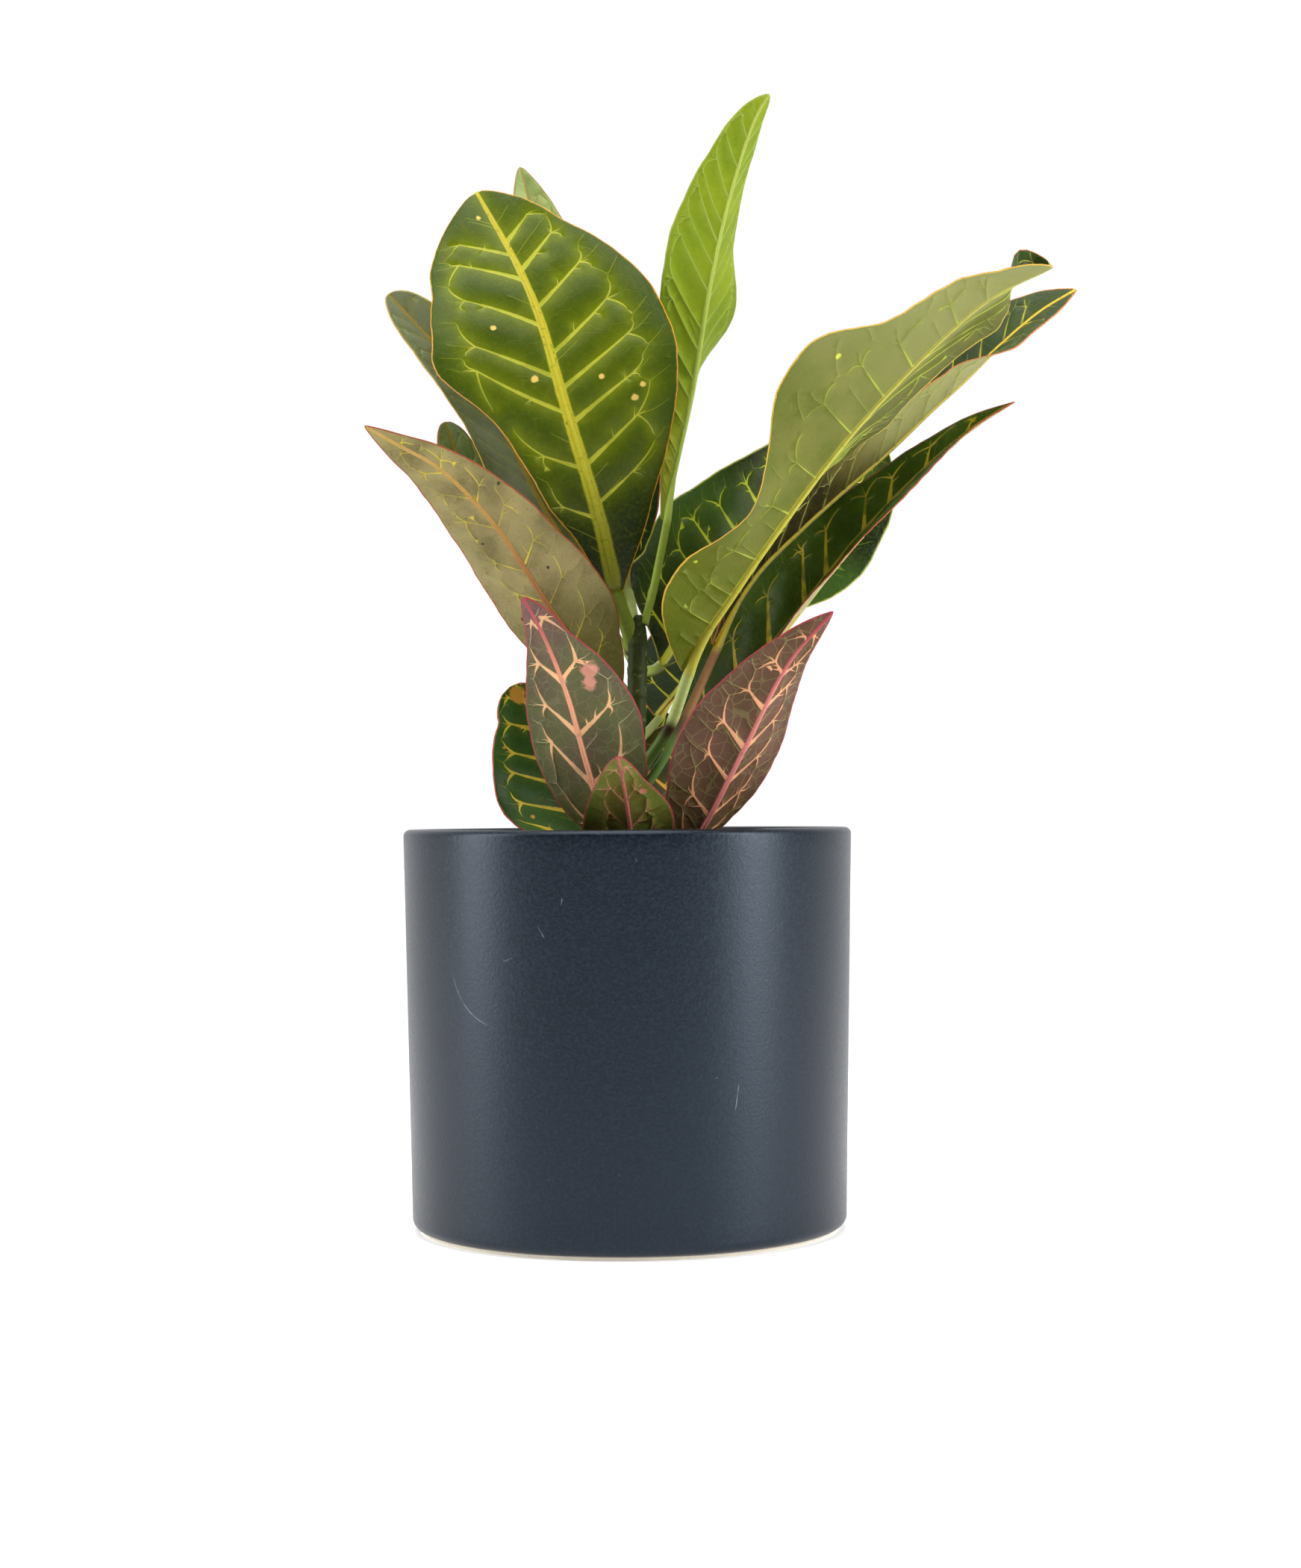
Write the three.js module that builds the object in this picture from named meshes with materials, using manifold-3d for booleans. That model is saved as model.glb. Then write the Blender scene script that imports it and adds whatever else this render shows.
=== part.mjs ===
// A potted croton: a straight matt ceramic pot, potting soil, one upright stem,
// and twenty-one leathery leaves, each a single blade with its own stalk.
// Millimetres, +Z up. The origin is the middle of the pot's base, and the plant's
// best side looks along -Y.

import * as THREE from 'three'
import { mergeVertices } from 'three/addons/utils/BufferGeometryUtils.js'
import Module from 'manifold-3d'

const wasm = await Module()
wasm.setup()

// The pot
const potHeight = 139
const potRimRadius = 78
const potBaseRadius = 75.5
const potWall = 4.6
const potFloor = 8
const lowerEdgeRadius = 3.5
const footHeight = 1.2
const footInset = 3.2
const footDraft = 0.3
const innerCornerRadius = 10
const potSides = 60

// The soil, and the clearance that neighbouring pieces keep
const soilTop = 110
const soilCrown = 3
const soilSides = 48
const clearance = 0.3

// The stem: it stands upright in its hole and leans a little above the soil
const stemPath = [
  [0, 0, 68],
  [0, 0, 112],
  [1.4, 0, 140],
  [3, 0, 168],
  [4, 0, 198],
  [4.4, 0, 214],
]
const stemRadius = 3.8
const stemTopRadius = 3.4
const stemSides = 10
const stemRings = 30
const nodeSwelling = 0.35
const nodeSpacing = 9
const nodeSharpness = 8
const budStart = 0.93
const budEnd = 1.02

// The leaves: the blade's thickness beside the midrib and at the margin, the ridge
// under the midrib, the stalk's radius, and how finely a leaf is divided
const bladeThickness = 0.8
const marginThickness = 0.62
const ribDepth = 2.8
const tipRibDepth = 0.9
const leastStalkRadius = 1
const stalkRadiusPerWidth = 0.026
const tipWidth = 0.45
const fullWaveWidth = 12
const rightWaveShift = 0.31
const acrossPoints = 5
const stalkSteps = 6
const lastStation = 0.985

// Each leaf is told by its midrib, from the stem's axis out to the tip; the bare
// stalk's length; the way that its upper side looks, from base to tip; the half
// widths at even stations, left and right of the midrib as its upper side shows
// them; and the angles by which each half folds up from flat. A wave is its height,
// its number and its phase, and a lift is the margin's rise at even stations. Blunt
// says how round the tip is, from 0 for a point.
const leaves = [
  {
    name: 'leaf_crown_left',
    kind: 'mature',
    midrib: [[4, 0, 200], [1, -4, 209], [-3, -8, 220], [-9, -10, 246], [-21, -10, 287],
      [-29, -5, 316], [-36, 0, 334], [-52, 12, 365]],
    stalk: 24,
    face: [[0.05, -1, 0.1]],
    left: [8.8, 16, 20, 26.5, 40, 38.3, 33, 25],
    right: [19, 35, 43, 39, 22],
    fold: [[8], [8]],
    curl: [-8, -8],
    wave: [1.5, 2, 0],
    blunt: 0.35,
    stations: 18,
  },
  {
    name: 'leaf_crown_young',
    kind: 'young',
    midrib: [[4, 0, 207], [8, 2, 220], [11, 4, 234], [17, 5, 263], [24, 4, 293], [30, 1, 327],
      [37, -3, 358], [46, -8, 385], [51, -12, 393]],
    stalk: 42,
    face: [[-0.8, 0.6, 0], [-0.5, 0.85, 0], [-0.3, 0.95, 0]],
    left: [8, 17, 19, 17, 11],
    right: [7, 13, 17, 17, 12],
    fold: [[80, 78, 52, 28, 48, 52, 50], [30, 35, 35, 30]],
    wave: [1, 3, 0],
    blunt: 0.35,
    stations: 16,
  },
  {
    name: 'leaf_right_arching',
    kind: 'mature',
    midrib: [[2.6, 0, 160], [9, -4, 168], [14, -8, 176], [22, -17, 197], [36, -25.5, 218],
      [51, -35, 239], [74, -48, 268.5], [98, -57.5, 293.5], [120, -63.5, 312], [140, -66.5, 321.5]],
    stalk: 41,
    face: [
      [-0.65, 0.57, 0.5], [-0.65, 0.57, 0.5], [-0.65, 0.57, 0.5], [-0.65, 0.57, 0.5],
      [-0.65, 0.57, 0.5], [-0.65, 0.57, 0.5], [-0.65, 0.57, 0.5], [0, -0.3, 0.95],
    ],
    left: [16, 25, 30, 31, 22.5, 16.4, 14.8, 15.4],
    right: [20.5, 24.4, 26.5, 25.8, 27.8, 38.5, 42.8, 26, 20, 12],
    fold: [[45, 45, 44, 40, 34, 25, 13, 7, 2, 0, 115], [5, 5, 5, 5, 5, 5, 5, 30]],
    lift: [null, [6, -7, 4, 0, -1]],
    blunt: 0.7,
    stations: 20,
  },
  {
    name: 'leaf_right_upper',
    kind: 'mature',
    midrib: [[2, 0, 151], [9, 0, 160], [19, 1.5, 178], [36, 5, 213], [47, 7.5, 229.5],
      [61, 9.5, 243.5], [76, 10.5, 257], [93, 9.5, 271.5], [108, 7, 285.5], [120, 4, 296], [132, 1, 307.5],
      [146, -2, 319], [158, -5, 326]],
    stalk: 60,
    face: [[-0.65, -0.17, 0.74]],
    left: [10, 17, 23, 26, 27, 16.5],
    right: [9, 15, 20, 22, 22, 20, 18, 14.5],
    fold: [[45], [35, 35, 35, 35, 34, 30, -8, -30]],
    wave: [1, 2, 0],
    blunt: 0.15,
    stations: 15,
  },
  {
    name: 'leaf_right_lower',
    kind: 'mature',
    midrib: [[1.6, 0, 143], [14, 5, 152], [25, 8, 168], [43, 12, 192], [60, 13, 213.5], [84, 14, 243],
      [107, 11, 266.3], [123, 7, 279.5], [137, 2, 288]],
    stalk: 30,
    face: [[-0.63, -0.37, 0.68]],
    left: [17, 24, 27, 26, 20, 13.7, 10.7, 6.3],
    right: [14, 24, 27, 22, 12],
    fold: [[37], [34, 30, 24, 19, 18, 18, 18]],
    wave: [1, 2, 0],
    stations: 15,
  },
  {
    name: 'leaf_middle_wide',
    kind: 'mature',
    midrib: [[4, 0, 194], [12, 17, 197], [19, 28, 208], [33.3, 37.5, 230], [55.3, 45, 258], [76.5, 51, 283],
      [92.5, 53, 300]],
    stalk: 20,
    face: [[-0.05, -1, 0.05]],
    left: [31, 31.5, 35.4, 31, 25, 18.3, 12, 6.5],
    right: [13.5, 29, 41, 40, 30],
    fold: [[38], [8]],
    wave: [1.5, 2, 0],
    stations: 17,
  },
  {
    name: 'leaf_left_front',
    kind: 'mature',
    midrib: [[3.3, 0, 178], [-1, -6, 184], [-7, -12, 192], [-15, -16, 200], [-26, -22, 215],
      [-44, -32, 242], [-62, -42, 260], [-75, -48, 267], [-86, -52, 273]],
    stalk: 13,
    face: [[0.3, 0.9, 0.3]],
    left: [17, 21, 16, 11, 6],
    right: [15, 19, 19, 15, 9],
    fold: [[12], [12]],
    wave: [1, 2, 0],
    blunt: 0.2,
    stations: 15,
  },
  {
    name: 'leaf_left_upper',
    kind: 'mature',
    midrib: [[4, 0, 196], [-5, 8, 211], [-15, 13, 230], [-29, 18, 253], [-44, 24, 282], [-59, 27, 303],
      [-73, 28, 319], [-85, 28, 332]],
    stalk: 26,
    face: [[0.3, -0.85, 0.4]],
    left: [13, 17, 17, 16, 11],
    right: [13, 17, 18, 16, 11],
    fold: [[20], [20]],
    wave: [1.5, 2, 0],
    blunt: 0.9,
    stations: 14,
  },
  {
    name: 'leaf_left_back',
    kind: 'mature',
    midrib: [[3.2, 0, 184], [-3, 8, 192], [-15, 13, 203], [-28, 18, 214], [-38, 22, 230], [-50, 26, 252],
      [-59, 28, 270], [-65, 30, 286]],
    stalk: 26,
    face: [[0.3, -0.85, 0.4]],
    left: [12, 17, 17, 13, 8],
    right: [11, 15, 16, 13, 8],
    fold: [[15], [15]],
    wave: [1, 2, 0],
    blunt: 0.9,
    stations: 13,
  },
  {
    name: 'leaf_red_left',
    kind: 'red',
    midrib: [[0.3, 0, 118], [-3, -14, 129], [-7, -24, 139], [-14, -36, 163], [-20, -44, 185],
      [-28, -49, 205], [-34, -52, 216]],
    stalk: 22,
    face: [[0.3, 0.9, 0.2]],
    left: [14, 20, 22, 17, 8.5],
    right: [12, 18, 19, 15, 7.5],
    fold: [[10], [10]],
    wave: [1, 2, 0],
    blunt: 0.4,
    stations: 13,
  },
  {
    name: 'leaf_red_middle',
    kind: 'red',
    midrib: [[0.2, 0, 115], [1, -22, 125], [1, -42, 139], [-1, -54, 153], [-3, -60, 163]],
    stalk: 22,
    face: [[0, 0.9, 0.4], [0, 0.9, 0.2]],
    left: [10, 14, 15, 12, 6.5],
    right: [13, 16.5, 16, 13.5, 9],
    fold: [[10], [10]],
    wave: [0.5, 2, 0],
    blunt: 0.4,
    stations: 11,
  },
  {
    name: 'leaf_red_right',
    kind: 'red',
    midrib: [[0.6, 0, 123.5], [11, -14, 125.5], [19, -24, 129.5], [26, -32, 140], [40, -44, 167],
      [54, -54, 194], [68, -60, 210]],
    stalk: 28,
    face: [[-0.37, 0.88, 0.29]],
    left: [12.5, 18.5, 19, 14.5, 7],
    right: [14.5, 20.5, 21, 16.5, 8],
    fold: [[28], [20]],
    wave: [1, 2, 0],
    blunt: 0.2,
    stations: 13,
  },
  {
    name: 'leaf_low_left',
    kind: 'mature',
    midrib: [[0.4, 0, 120], [-5, 7, 128], [-12, 11, 136], [-17, 15, 146], [-27, 21, 166],
      [-34, 25, 180], [-40, 28, 191]],
    stalk: 15,
    face: [[0.3, -0.9, 0.3]],
    left: [21, 28, 28, 23, 14],
    right: [15, 19, 20, 17, 10],
    fold: [[10], [10]],
    wave: [1, 2, 0],
    blunt: 0.8,
    stations: 12,
  },
  {
    name: 'leaf_low_right',
    kind: 'mature',
    midrib: [[0.8, 0, 127], [9, 9, 134], [16, 18, 145], [23, 32, 168], [29, 44, 185]],
    stalk: 18,
    face: [[-0.3, -0.9, 0.3]],
    left: [12, 19, 21, 17, 9],
    right: [12, 19, 21, 17, 9],
    fold: [[10], [10]],
    wave: [1, 2, 0],
    blunt: 0.3,
    stations: 11,
  },
  {
    name: 'leaf_crown_back',
    kind: 'mature',
    midrib: [[4.2, 0, 208], [2, 10, 221], [-4, 28, 248], [-17, 44, 304], [-30, 51, 353], [-38, 50, 383]],
    stalk: 40,
    face: [[0.2, -0.9, 0.3], [0.3, -0.9, 0.1]],
    left: [10, 17, 20, 19, 12],
    right: [10, 18, 22, 19, 11],
    fold: [[20], [20]],
    wave: [1, 2, 0],
    blunt: 0.3,
    stations: 14,
  },
  {
    name: 'leaf_back_tall',
    kind: 'mature',
    midrib: [[3.5, 0, 188.7], [3, 14, 193.5], [0.5, 28, 214], [-2, 40, 239], [-9, 60, 284], [-14, 76, 328]],
    stalk: 44,
    face: [[0.1, -0.75, 0.6]],
    left: [10, 19, 23, 20, 11],
    right: [9, 17, 21, 19, 11],
    fold: [[20], [20]],
    wave: [1, 2, 0],
    blunt: 0.3,
    stations: 13,
  },
  {
    name: 'leaf_back_right',
    kind: 'mature',
    midrib: [[3, 0, 171], [9, 19, 177], [29, 50, 203], [50, 71, 237], [65, 83, 267]],
    stalk: 26,
    face: [[-0.5, -0.5, 0.6]],
    left: [19, 26, 24, 18, 10],
    right: [11, 18, 21, 18, 10],
    fold: [[20], [20]],
    wave: [1, 2, 0],
    blunt: 0.3,
    stations: 13,
  },
  {
    name: 'leaf_back_left',
    kind: 'mature',
    midrib: [[2.8, 0, 165], [-8, 18, 178], [-26, 42, 200], [-46, 62, 230], [-62, 74, 254]],
    stalk: 26,
    face: [[0.5, -0.5, 0.6]],
    left: [11, 18, 21, 18, 10],
    right: [11, 18, 21, 18, 10],
    fold: [[20], [20]],
    wave: [1, 2, 0],
    blunt: 0.3,
    stations: 13,
  },
  {
    name: 'leaf_low_back',
    kind: 'mature',
    midrib: [[1, 0, 132], [2, 22, 142], [3, 46, 162], [5, 62, 188]],
    stalk: 20,
    face: [[0, -0.75, 0.6]],
    left: [10, 16, 18, 15, 8],
    right: [10, 17, 21, 20, 13],
    fold: [[15], [15]],
    wave: [1, 2, 0],
    blunt: 0.3,
    stations: 11,
  },
  {
    name: 'leaf_low_back_right',
    kind: 'red',
    midrib: [[0.5, 0, 121], [18, 18, 130], [38, 38, 152], [52, 54, 178]],
    stalk: 22,
    face: [[-0.5, -0.5, 0.6]],
    left: [9, 14, 16, 13, 7],
    right: [9, 14, 16, 13, 7],
    fold: [[15], [15]],
    wave: [1, 2, 0],
    blunt: 0.3,
    stations: 11,
  },
  {
    name: 'leaf_low_back_left',
    kind: 'red',
    midrib: [[0.3, 0, 116], [-14, 18, 124], [-32, 36, 144], [-44, 50, 166]],
    stalk: 20,
    face: [[0.5, -0.5, 0.6]],
    left: [9, 14, 16, 13, 7],
    right: [9, 14, 16, 13, 7],
    fold: [[15], [15]],
    wave: [1, 2, 0],
    blunt: 0.3,
    stations: 11,
  },
]

const toRadians = THREE.MathUtils.degToRad
const vector = ([x, y, z]) => new THREE.Vector3(x, y, z)

// The smooth rise from one value to the next
function blend(from, to, share) {
  return from + (to - from) * share * share * (3 - 2 * share)
}

// A value spread along the blade, through a list at even stations
function spread(list, t) {
  if (list.length === 1) return list[0]
  const place = Math.min(Math.max(t, 0), 1) * (list.length - 1)
  const low = Math.min(Math.floor(place), list.length - 2)
  return blend(list[low], list[low + 1], place - low)
}

// A smooth curve of values through even stations, with given values at its ends
function throughStations(list, t, start, end) {
  const values = [start, ...list, end]
  const spans = values.length - 1
  const place = Math.min(Math.max(t, 0), 1) * spans
  const low = Math.min(Math.floor(place), spans - 1)
  const share = place - low
  const before = low > 0 ? values[low - 1] : 2 * values[low] - values[low + 1]
  const after = low + 2 <= spans ? values[low + 2] : 2 * values[low + 1] - values[low]
  const leaving = (values[low + 1] - before) / 2
  const arriving = (after - values[low]) / 2
  const square = share * share
  const cube = square * share
  return (2 * cube - 3 * square + 1) * values[low] + (cube - 2 * square + share) * leaving
    + (3 * square - 2 * cube) * values[low + 1] + (cube - square) * arriving
}

// The way that the upper side looks, turned evenly from base to tip
function faceAt(face, t) {
  if (face.length === 1) return vector(face[0]).normalize()
  const place = Math.min(Math.max(t, 0), 1) * (face.length - 1)
  const low = Math.min(Math.floor(place), face.length - 2)
  return vector(face[low]).normalize().lerp(vector(face[low + 1]).normalize(), place - low)
}

// A closed body from two matching skins of points: rows run along the piece and
// columns run across it. Both skins are split along the same diagonals.
function closeSkins(upper, under) {
  const rows = upper.length
  const columns = upper[0].length
  const positions = []
  for (const skin of [upper, under]) {
    for (const row of skin) {
      for (const point of row) positions.push(point.x, point.y, point.z)
    }
  }
  const top = (row, column) => row * columns + column
  const bottom = (row, column) => rows * columns + row * columns + column
  const faces = []
  const quad = (a, b, c, d) => faces.push(a, b, c, a, c, d)
  for (let row = 0; row < rows - 1; row++) {
    for (let column = 0; column < columns - 1; column++) {
      const corners = [[row, column], [row, column + 1], [row + 1, column + 1], [row + 1, column]]
      const [a, b, c, d] = corners.map(([r, k]) => top(r, k))
      const [e, f, g, h] = corners.map(([r, k]) => bottom(r, k))
      quad(a, b, c, d)
      quad(e, h, g, f)
    }
    const last = columns - 1
    quad(top(row, 0), top(row + 1, 0), bottom(row + 1, 0), bottom(row, 0))
    quad(top(row + 1, last), top(row, last), bottom(row, last), bottom(row + 1, last))
  }
  for (let column = 0; column < columns - 1; column++) {
    const end = rows - 1
    quad(top(0, column), bottom(0, column), bottom(0, column + 1), top(0, column + 1))
    quad(top(end, column + 1), bottom(end, column + 1), bottom(end, column), top(end, column))
  }
  const geometry = new THREE.BufferGeometry()
  geometry.setAttribute('position', new THREE.Float32BufferAttribute(positions, 3))
  geometry.setIndex(faces)
  return geometry
}

// The midrib's point and its three directions: along, up from the upper side, across
function ribFrame(curve, leaf, length, t) {
  const along = curve.getTangentAt(Math.min(Math.max(length / curve.getLength(), 0), 1))
  const point = curve.getPointAt(Math.min(Math.max(length / curve.getLength(), 0), 1))
  const up = faceAt(leaf.face, t)
  up.addScaledVector(along, -up.dot(along)).normalize()
  const across = new THREE.Vector3().crossVectors(along, up)
  return { point, up, across }
}

// The half width at t. Past the last station a blunt leaf rounds off towards its tip.
function halfWidth(leaf, widths, t) {
  const pointed = throughStations(widths, t, stalkRadius(leaf), 0)
  const last = widths.length / (widths.length + 1)
  const past = Math.max(0, t - last) / (1 - last)
  const round = widths[widths.length - 1] * Math.sqrt(1 - past * past)
  const width = past > 0 ? pointed + (round - pointed) * (leaf.blunt || 0) : pointed
  return Math.max(width, tipWidth)
}

// A place on the blade: t along it, side -1 or 1, q from the midrib to the margin.
// Each half is an arc that starts at its fold and turns by its curl.
function bladePlace(frame, leaf, t, side, q) {
  const half = side < 0 ? 0 : 1
  const widths = side < 0 ? leaf.left : leaf.right
  const width = halfWidth(leaf, widths, t)
  const fold = toRadians(spread(leaf.fold[half], t))
  const curl = toRadians(leaf.curl ? leaf.curl[half] : 0)
  const turn = fold + curl * q
  const bent = Math.abs(curl) > 1e-4
  const outward = bent ? (Math.sin(turn) - Math.sin(fold)) / curl : Math.cos(fold) * q
  const upward = bent ? (Math.cos(fold) - Math.cos(turn)) / curl : Math.sin(fold) * q
  const [height, count, phase] = leaf.wave || [0, 1, 0]
  const waveAngle = 2 * Math.PI * (count * t + phase + rightWaveShift * half)
  let rise = height * Math.sin(waveAngle) * Math.min(1, width / fullWaveWidth)
  if (leaf.lift && leaf.lift[half]) rise += throughStations(leaf.lift[half], t, 0, 0)
  const place = frame.point.clone()
  place.addScaledVector(frame.across, side * outward * width)
  place.addScaledVector(frame.up, upward * width + rise * q * q)
  const normal = frame.up.clone().multiplyScalar(Math.cos(turn))
  normal.addScaledVector(frame.across, -side * Math.sin(turn))
  return { place, normal }
}

function stalkRadius(leaf) {
  const widest = Math.max(...leaf.left, ...leaf.right)
  return leastStalkRadius + stalkRadiusPerWidth * widest
}

// One leaf: a round stalk that flattens into a thin blade with a ridge under its midrib
function leafGeometry(leaf) {
  const curve = new THREE.CatmullRomCurve3(leaf.midrib.map(vector), false, 'centripetal')
  const bladeLength = curve.getLength() - leaf.stalk
  const radius = stalkRadius(leaf)
  const middle = (acrossPoints - 1) / 2
  const upper = []
  const under = []
  for (let step = 0; step < stalkSteps; step++) {
    const frame = ribFrame(curve, leaf, leaf.stalk * step / stalkSteps, 0)
    const ring = (angle) => frame.point.clone()
      .addScaledVector(frame.across, -radius * Math.cos(angle))
      .addScaledVector(frame.up, radius * Math.sin(angle) - radius)
    const angles = Array.from({ length: acrossPoints }, (_, i) => Math.PI * (i + 0.5) / acrossPoints)
    upper.push(angles.map((angle) => ring(angle)))
    under.push(angles.map((angle) => ring(-angle)))
  }
  for (let station = 0; station < leaf.stations; station++) {
    const t = lastStation * station / (leaf.stations - 1)
    const frame = ribFrame(curve, leaf, leaf.stalk + bladeLength * t, t)
    const ridge = blend(ribDepth, tipRibDepth, Math.sqrt(t))
    const topRow = []
    const bottomRow = []
    for (let column = 0; column < acrossPoints; column++) {
      const reach = (column - middle) / middle
      const q = Math.abs(reach)
      const { place, normal } = bladePlace(frame, leaf, t, Math.sign(reach) || 1, q)
      const isRib = column === middle
      const depth = isRib ? ridge : blend(bladeThickness, marginThickness, q)
      topRow.push(place)
      bottomRow.push(place.clone().addScaledVector(isRib ? frame.up : normal, -depth))
    }
    upper.push(topRow)
    under.push(bottomRow)
  }
  return closeSkins(upper, under)
}

// A round body along a path, closed at both ends; the radius may change along it
function roundBody(points, radiusAt, rings, sides) {
  const curve = new THREE.CatmullRomCurve3(points.map(vector), false, 'centripetal')
  const positions = []
  const faces = []
  const ahead = new THREE.Vector3(0, 1, 0)
  for (let ring = 0; ring <= rings; ring++) {
    const share = ring / rings
    const point = curve.getPointAt(share)
    const across = new THREE.Vector3().crossVectors(ahead, curve.getTangentAt(share)).normalize()
    const radius = radiusAt(share, curve.getLength() * share)
    for (let side = 0; side < sides; side++) {
      const angle = 2 * Math.PI * side / sides
      const place = point.clone()
        .addScaledVector(across, radius * Math.cos(angle))
        .addScaledVector(ahead, radius * Math.sin(angle))
      positions.push(place.x, place.y, place.z)
    }
  }
  const at = (ring, side) => ring * sides + side % sides
  for (let ring = 0; ring < rings; ring++) {
    for (let side = 0; side < sides; side++) {
      faces.push(at(ring, side), at(ring, side + 1), at(ring + 1, side + 1))
      faces.push(at(ring, side), at(ring + 1, side + 1), at(ring + 1, side))
    }
  }
  const ends = positions.length / 3
  for (const share of [0, 1]) {
    const centre = curve.getPointAt(share)
    positions.push(centre.x, centre.y, centre.z)
  }
  for (let side = 0; side < sides; side++) {
    faces.push(ends, at(0, side + 1), at(0, side))
    faces.push(ends + 1, at(rings, side), at(rings, side + 1))
  }
  const geometry = new THREE.BufferGeometry()
  geometry.setAttribute('position', new THREE.Float32BufferAttribute(positions, 3))
  geometry.setIndex(faces)
  return geometry
}

// The stem is a little swollen at each leaf joint and narrows to a bud at its top
function stemRadiusAt(share, length, extra) {
  const taper = stemRadius + (stemTopRadius - stemRadius) * share
  const joint = nodeSwelling * Math.cos(2 * Math.PI * length / nodeSpacing) ** nodeSharpness
  const intoBud = Math.max(0, (share - budStart) / (budEnd - budStart))
  return (taper + joint) * Math.sqrt(1 - intoBud ** 2) + extra
}

function stemGeometry(extra) {
  return roundBody(stemPath, (share, length) => stemRadiusAt(share, length, extra), stemRings, stemSides)
}

// Solids for joining and cutting, and back to geometry again
function toSolid(geometry) {
  const bare = geometry.clone()
  bare.deleteAttribute('normal')
  bare.deleteAttribute('uv')
  const merged = mergeVertices(bare)
  return new wasm.Manifold(new wasm.Mesh({
    numProp: 3,
    vertProperties: new Float32Array(merged.attributes.position.array),
    triVerts: new Uint32Array(merged.index.array),
  }))
}

function toGeometry(solid) {
  const mesh = solid.getMesh()
  const geometry = new THREE.BufferGeometry()
  geometry.setAttribute('position', new THREE.BufferAttribute(mesh.vertProperties, 3))
  geometry.setIndex(new THREE.BufferAttribute(mesh.triVerts, 1))
  return geometry
}

// The largest body of a solid that a cut has left in pieces
function largestBody(solid) {
  const bodies = solid.decompose()
  return bodies.reduce((best, body) => (body.volume() > best.volume() ? body : best))
}

// An arc between two directions, as profile points of radius and height
function arcPoints(centreRadius, centreHeight, radius, fromDegrees, toDegrees, steps) {
  return Array.from({ length: steps + 1 }, (_, i) => {
    const angle = toRadians(fromDegrees + (toDegrees - fromDegrees) * i / steps)
    return new THREE.Vector2(centreRadius + radius * Math.cos(angle), centreHeight + radius * Math.sin(angle))
  })
}

// The pot's inner radius at a height over its base
const innerRadius = (height) => {
  const outer = potBaseRadius + (potRimRadius - potBaseRadius) * height / potHeight
  return outer - potWall
}

// The pot is one ceramic body: a flat foot set in a little, a rounded lower edge,
// a wall that widens a little, and a rounded rim
function potGeometry() {
  const footRadius = potBaseRadius - footInset
  const rimRound = potWall / 2
  const inside = innerRadius(potFloor) - innerCornerRadius
  const profile = [
    new THREE.Vector2(0, 0),
    new THREE.Vector2(footRadius, 0),
    new THREE.Vector2(footRadius + footDraft, footHeight),
    ...arcPoints(potBaseRadius - lowerEdgeRadius, footHeight + lowerEdgeRadius, lowerEdgeRadius, -75, 0, 4),
    ...arcPoints(potRimRadius - rimRound, potHeight - rimRound, rimRound, 0, 180, 6),
    ...arcPoints(inside, potFloor + innerCornerRadius, innerCornerRadius, 0, -90, 3),
    new THREE.Vector2(0, potFloor),
  ]
  return new THREE.LatheGeometry(profile, potSides)
}

// The soil fills the pot from its floor to a low crown, with a plain hole for the stem
function soilGeometry() {
  const holeRadius = stemRadius + nodeSwelling + clearance
  const holeBottom = stemPath[0][2] - clearance
  const bottom = potFloor + clearance
  const corner = innerCornerRadius + 1
  const facetShrink = Math.cos(Math.PI / soilSides)
  const reach = (height) => (innerRadius(height) - clearance) * Math.cos(Math.PI / potSides)
  const edge = soilTop - soilCrown
  const shoulder = new THREE.Vector2(0.6 * reach(edge), edge + 0.7 * soilCrown)
  const profile = [
    new THREE.Vector2(0, bottom),
    new THREE.Vector2(reach(bottom) - corner, bottom),
    new THREE.Vector2(reach(bottom + corner), bottom + corner),
    new THREE.Vector2(reach(edge), edge),
    shoulder,
    new THREE.Vector2(holeRadius / facetShrink, soilTop),
    new THREE.Vector2(holeRadius / facetShrink, holeBottom),
    new THREE.Vector2(0, holeBottom),
  ]
  return new THREE.LatheGeometry(profile, soilSides)
}

// A lathe turns about +Y, and the part stands along +Z
function standUp(geometry) {
  return geometry.rotateX(Math.PI / 2)
}

const finishes = {
  pot: { color: 0x2b323c, roughness: 0.5 },
  soil: { color: 0x2c2119, roughness: 1 },
  stem: { color: 0x3c4a22, roughness: 0.6 },
  mature: { color: 0x35501c, roughness: 0.4 },
  young: { color: 0x6d8f1f, roughness: 0.4 },
  red: { color: 0x5e3a35, roughness: 0.45 },
}

function finish(kind) {
  return new THREE.MeshStandardMaterial({ ...finishes[kind], metalness: 0 })
}

const group = new THREE.Group()

function addPiece(name, geometry, kind) {
  const mesh = new THREE.Mesh(geometry, finish(kind))
  mesh.name = name
  group.add(mesh)
}

addPiece('pot', standUp(potGeometry()), 'pot')
addPiece('soil', standUp(soilGeometry()), 'soil')
addPiece('stem', stemGeometry(0), 'stem')

// Each stalk starts on the stem's axis and is cut back to just clear of the stem
const stemAndGap = toSolid(stemGeometry(clearance))
for (const leaf of leaves) {
  const whole = toSolid(leafGeometry(leaf))
  addPiece(leaf.name, toGeometry(largestBody(whole.subtract(stemAndGap))), leaf.kind)
}

export default group
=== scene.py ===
# %% [markdown]
# # A potted croton
# A croton is a house plant with thick, glossy leaves that are veined in yellow, orange
# and red. This one is young: a single stem in a straight, matt, dark ceramic pot. The
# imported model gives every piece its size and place. The cells below make the fine
# surface of each piece at that same place, one kind of piece after the other.

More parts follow.
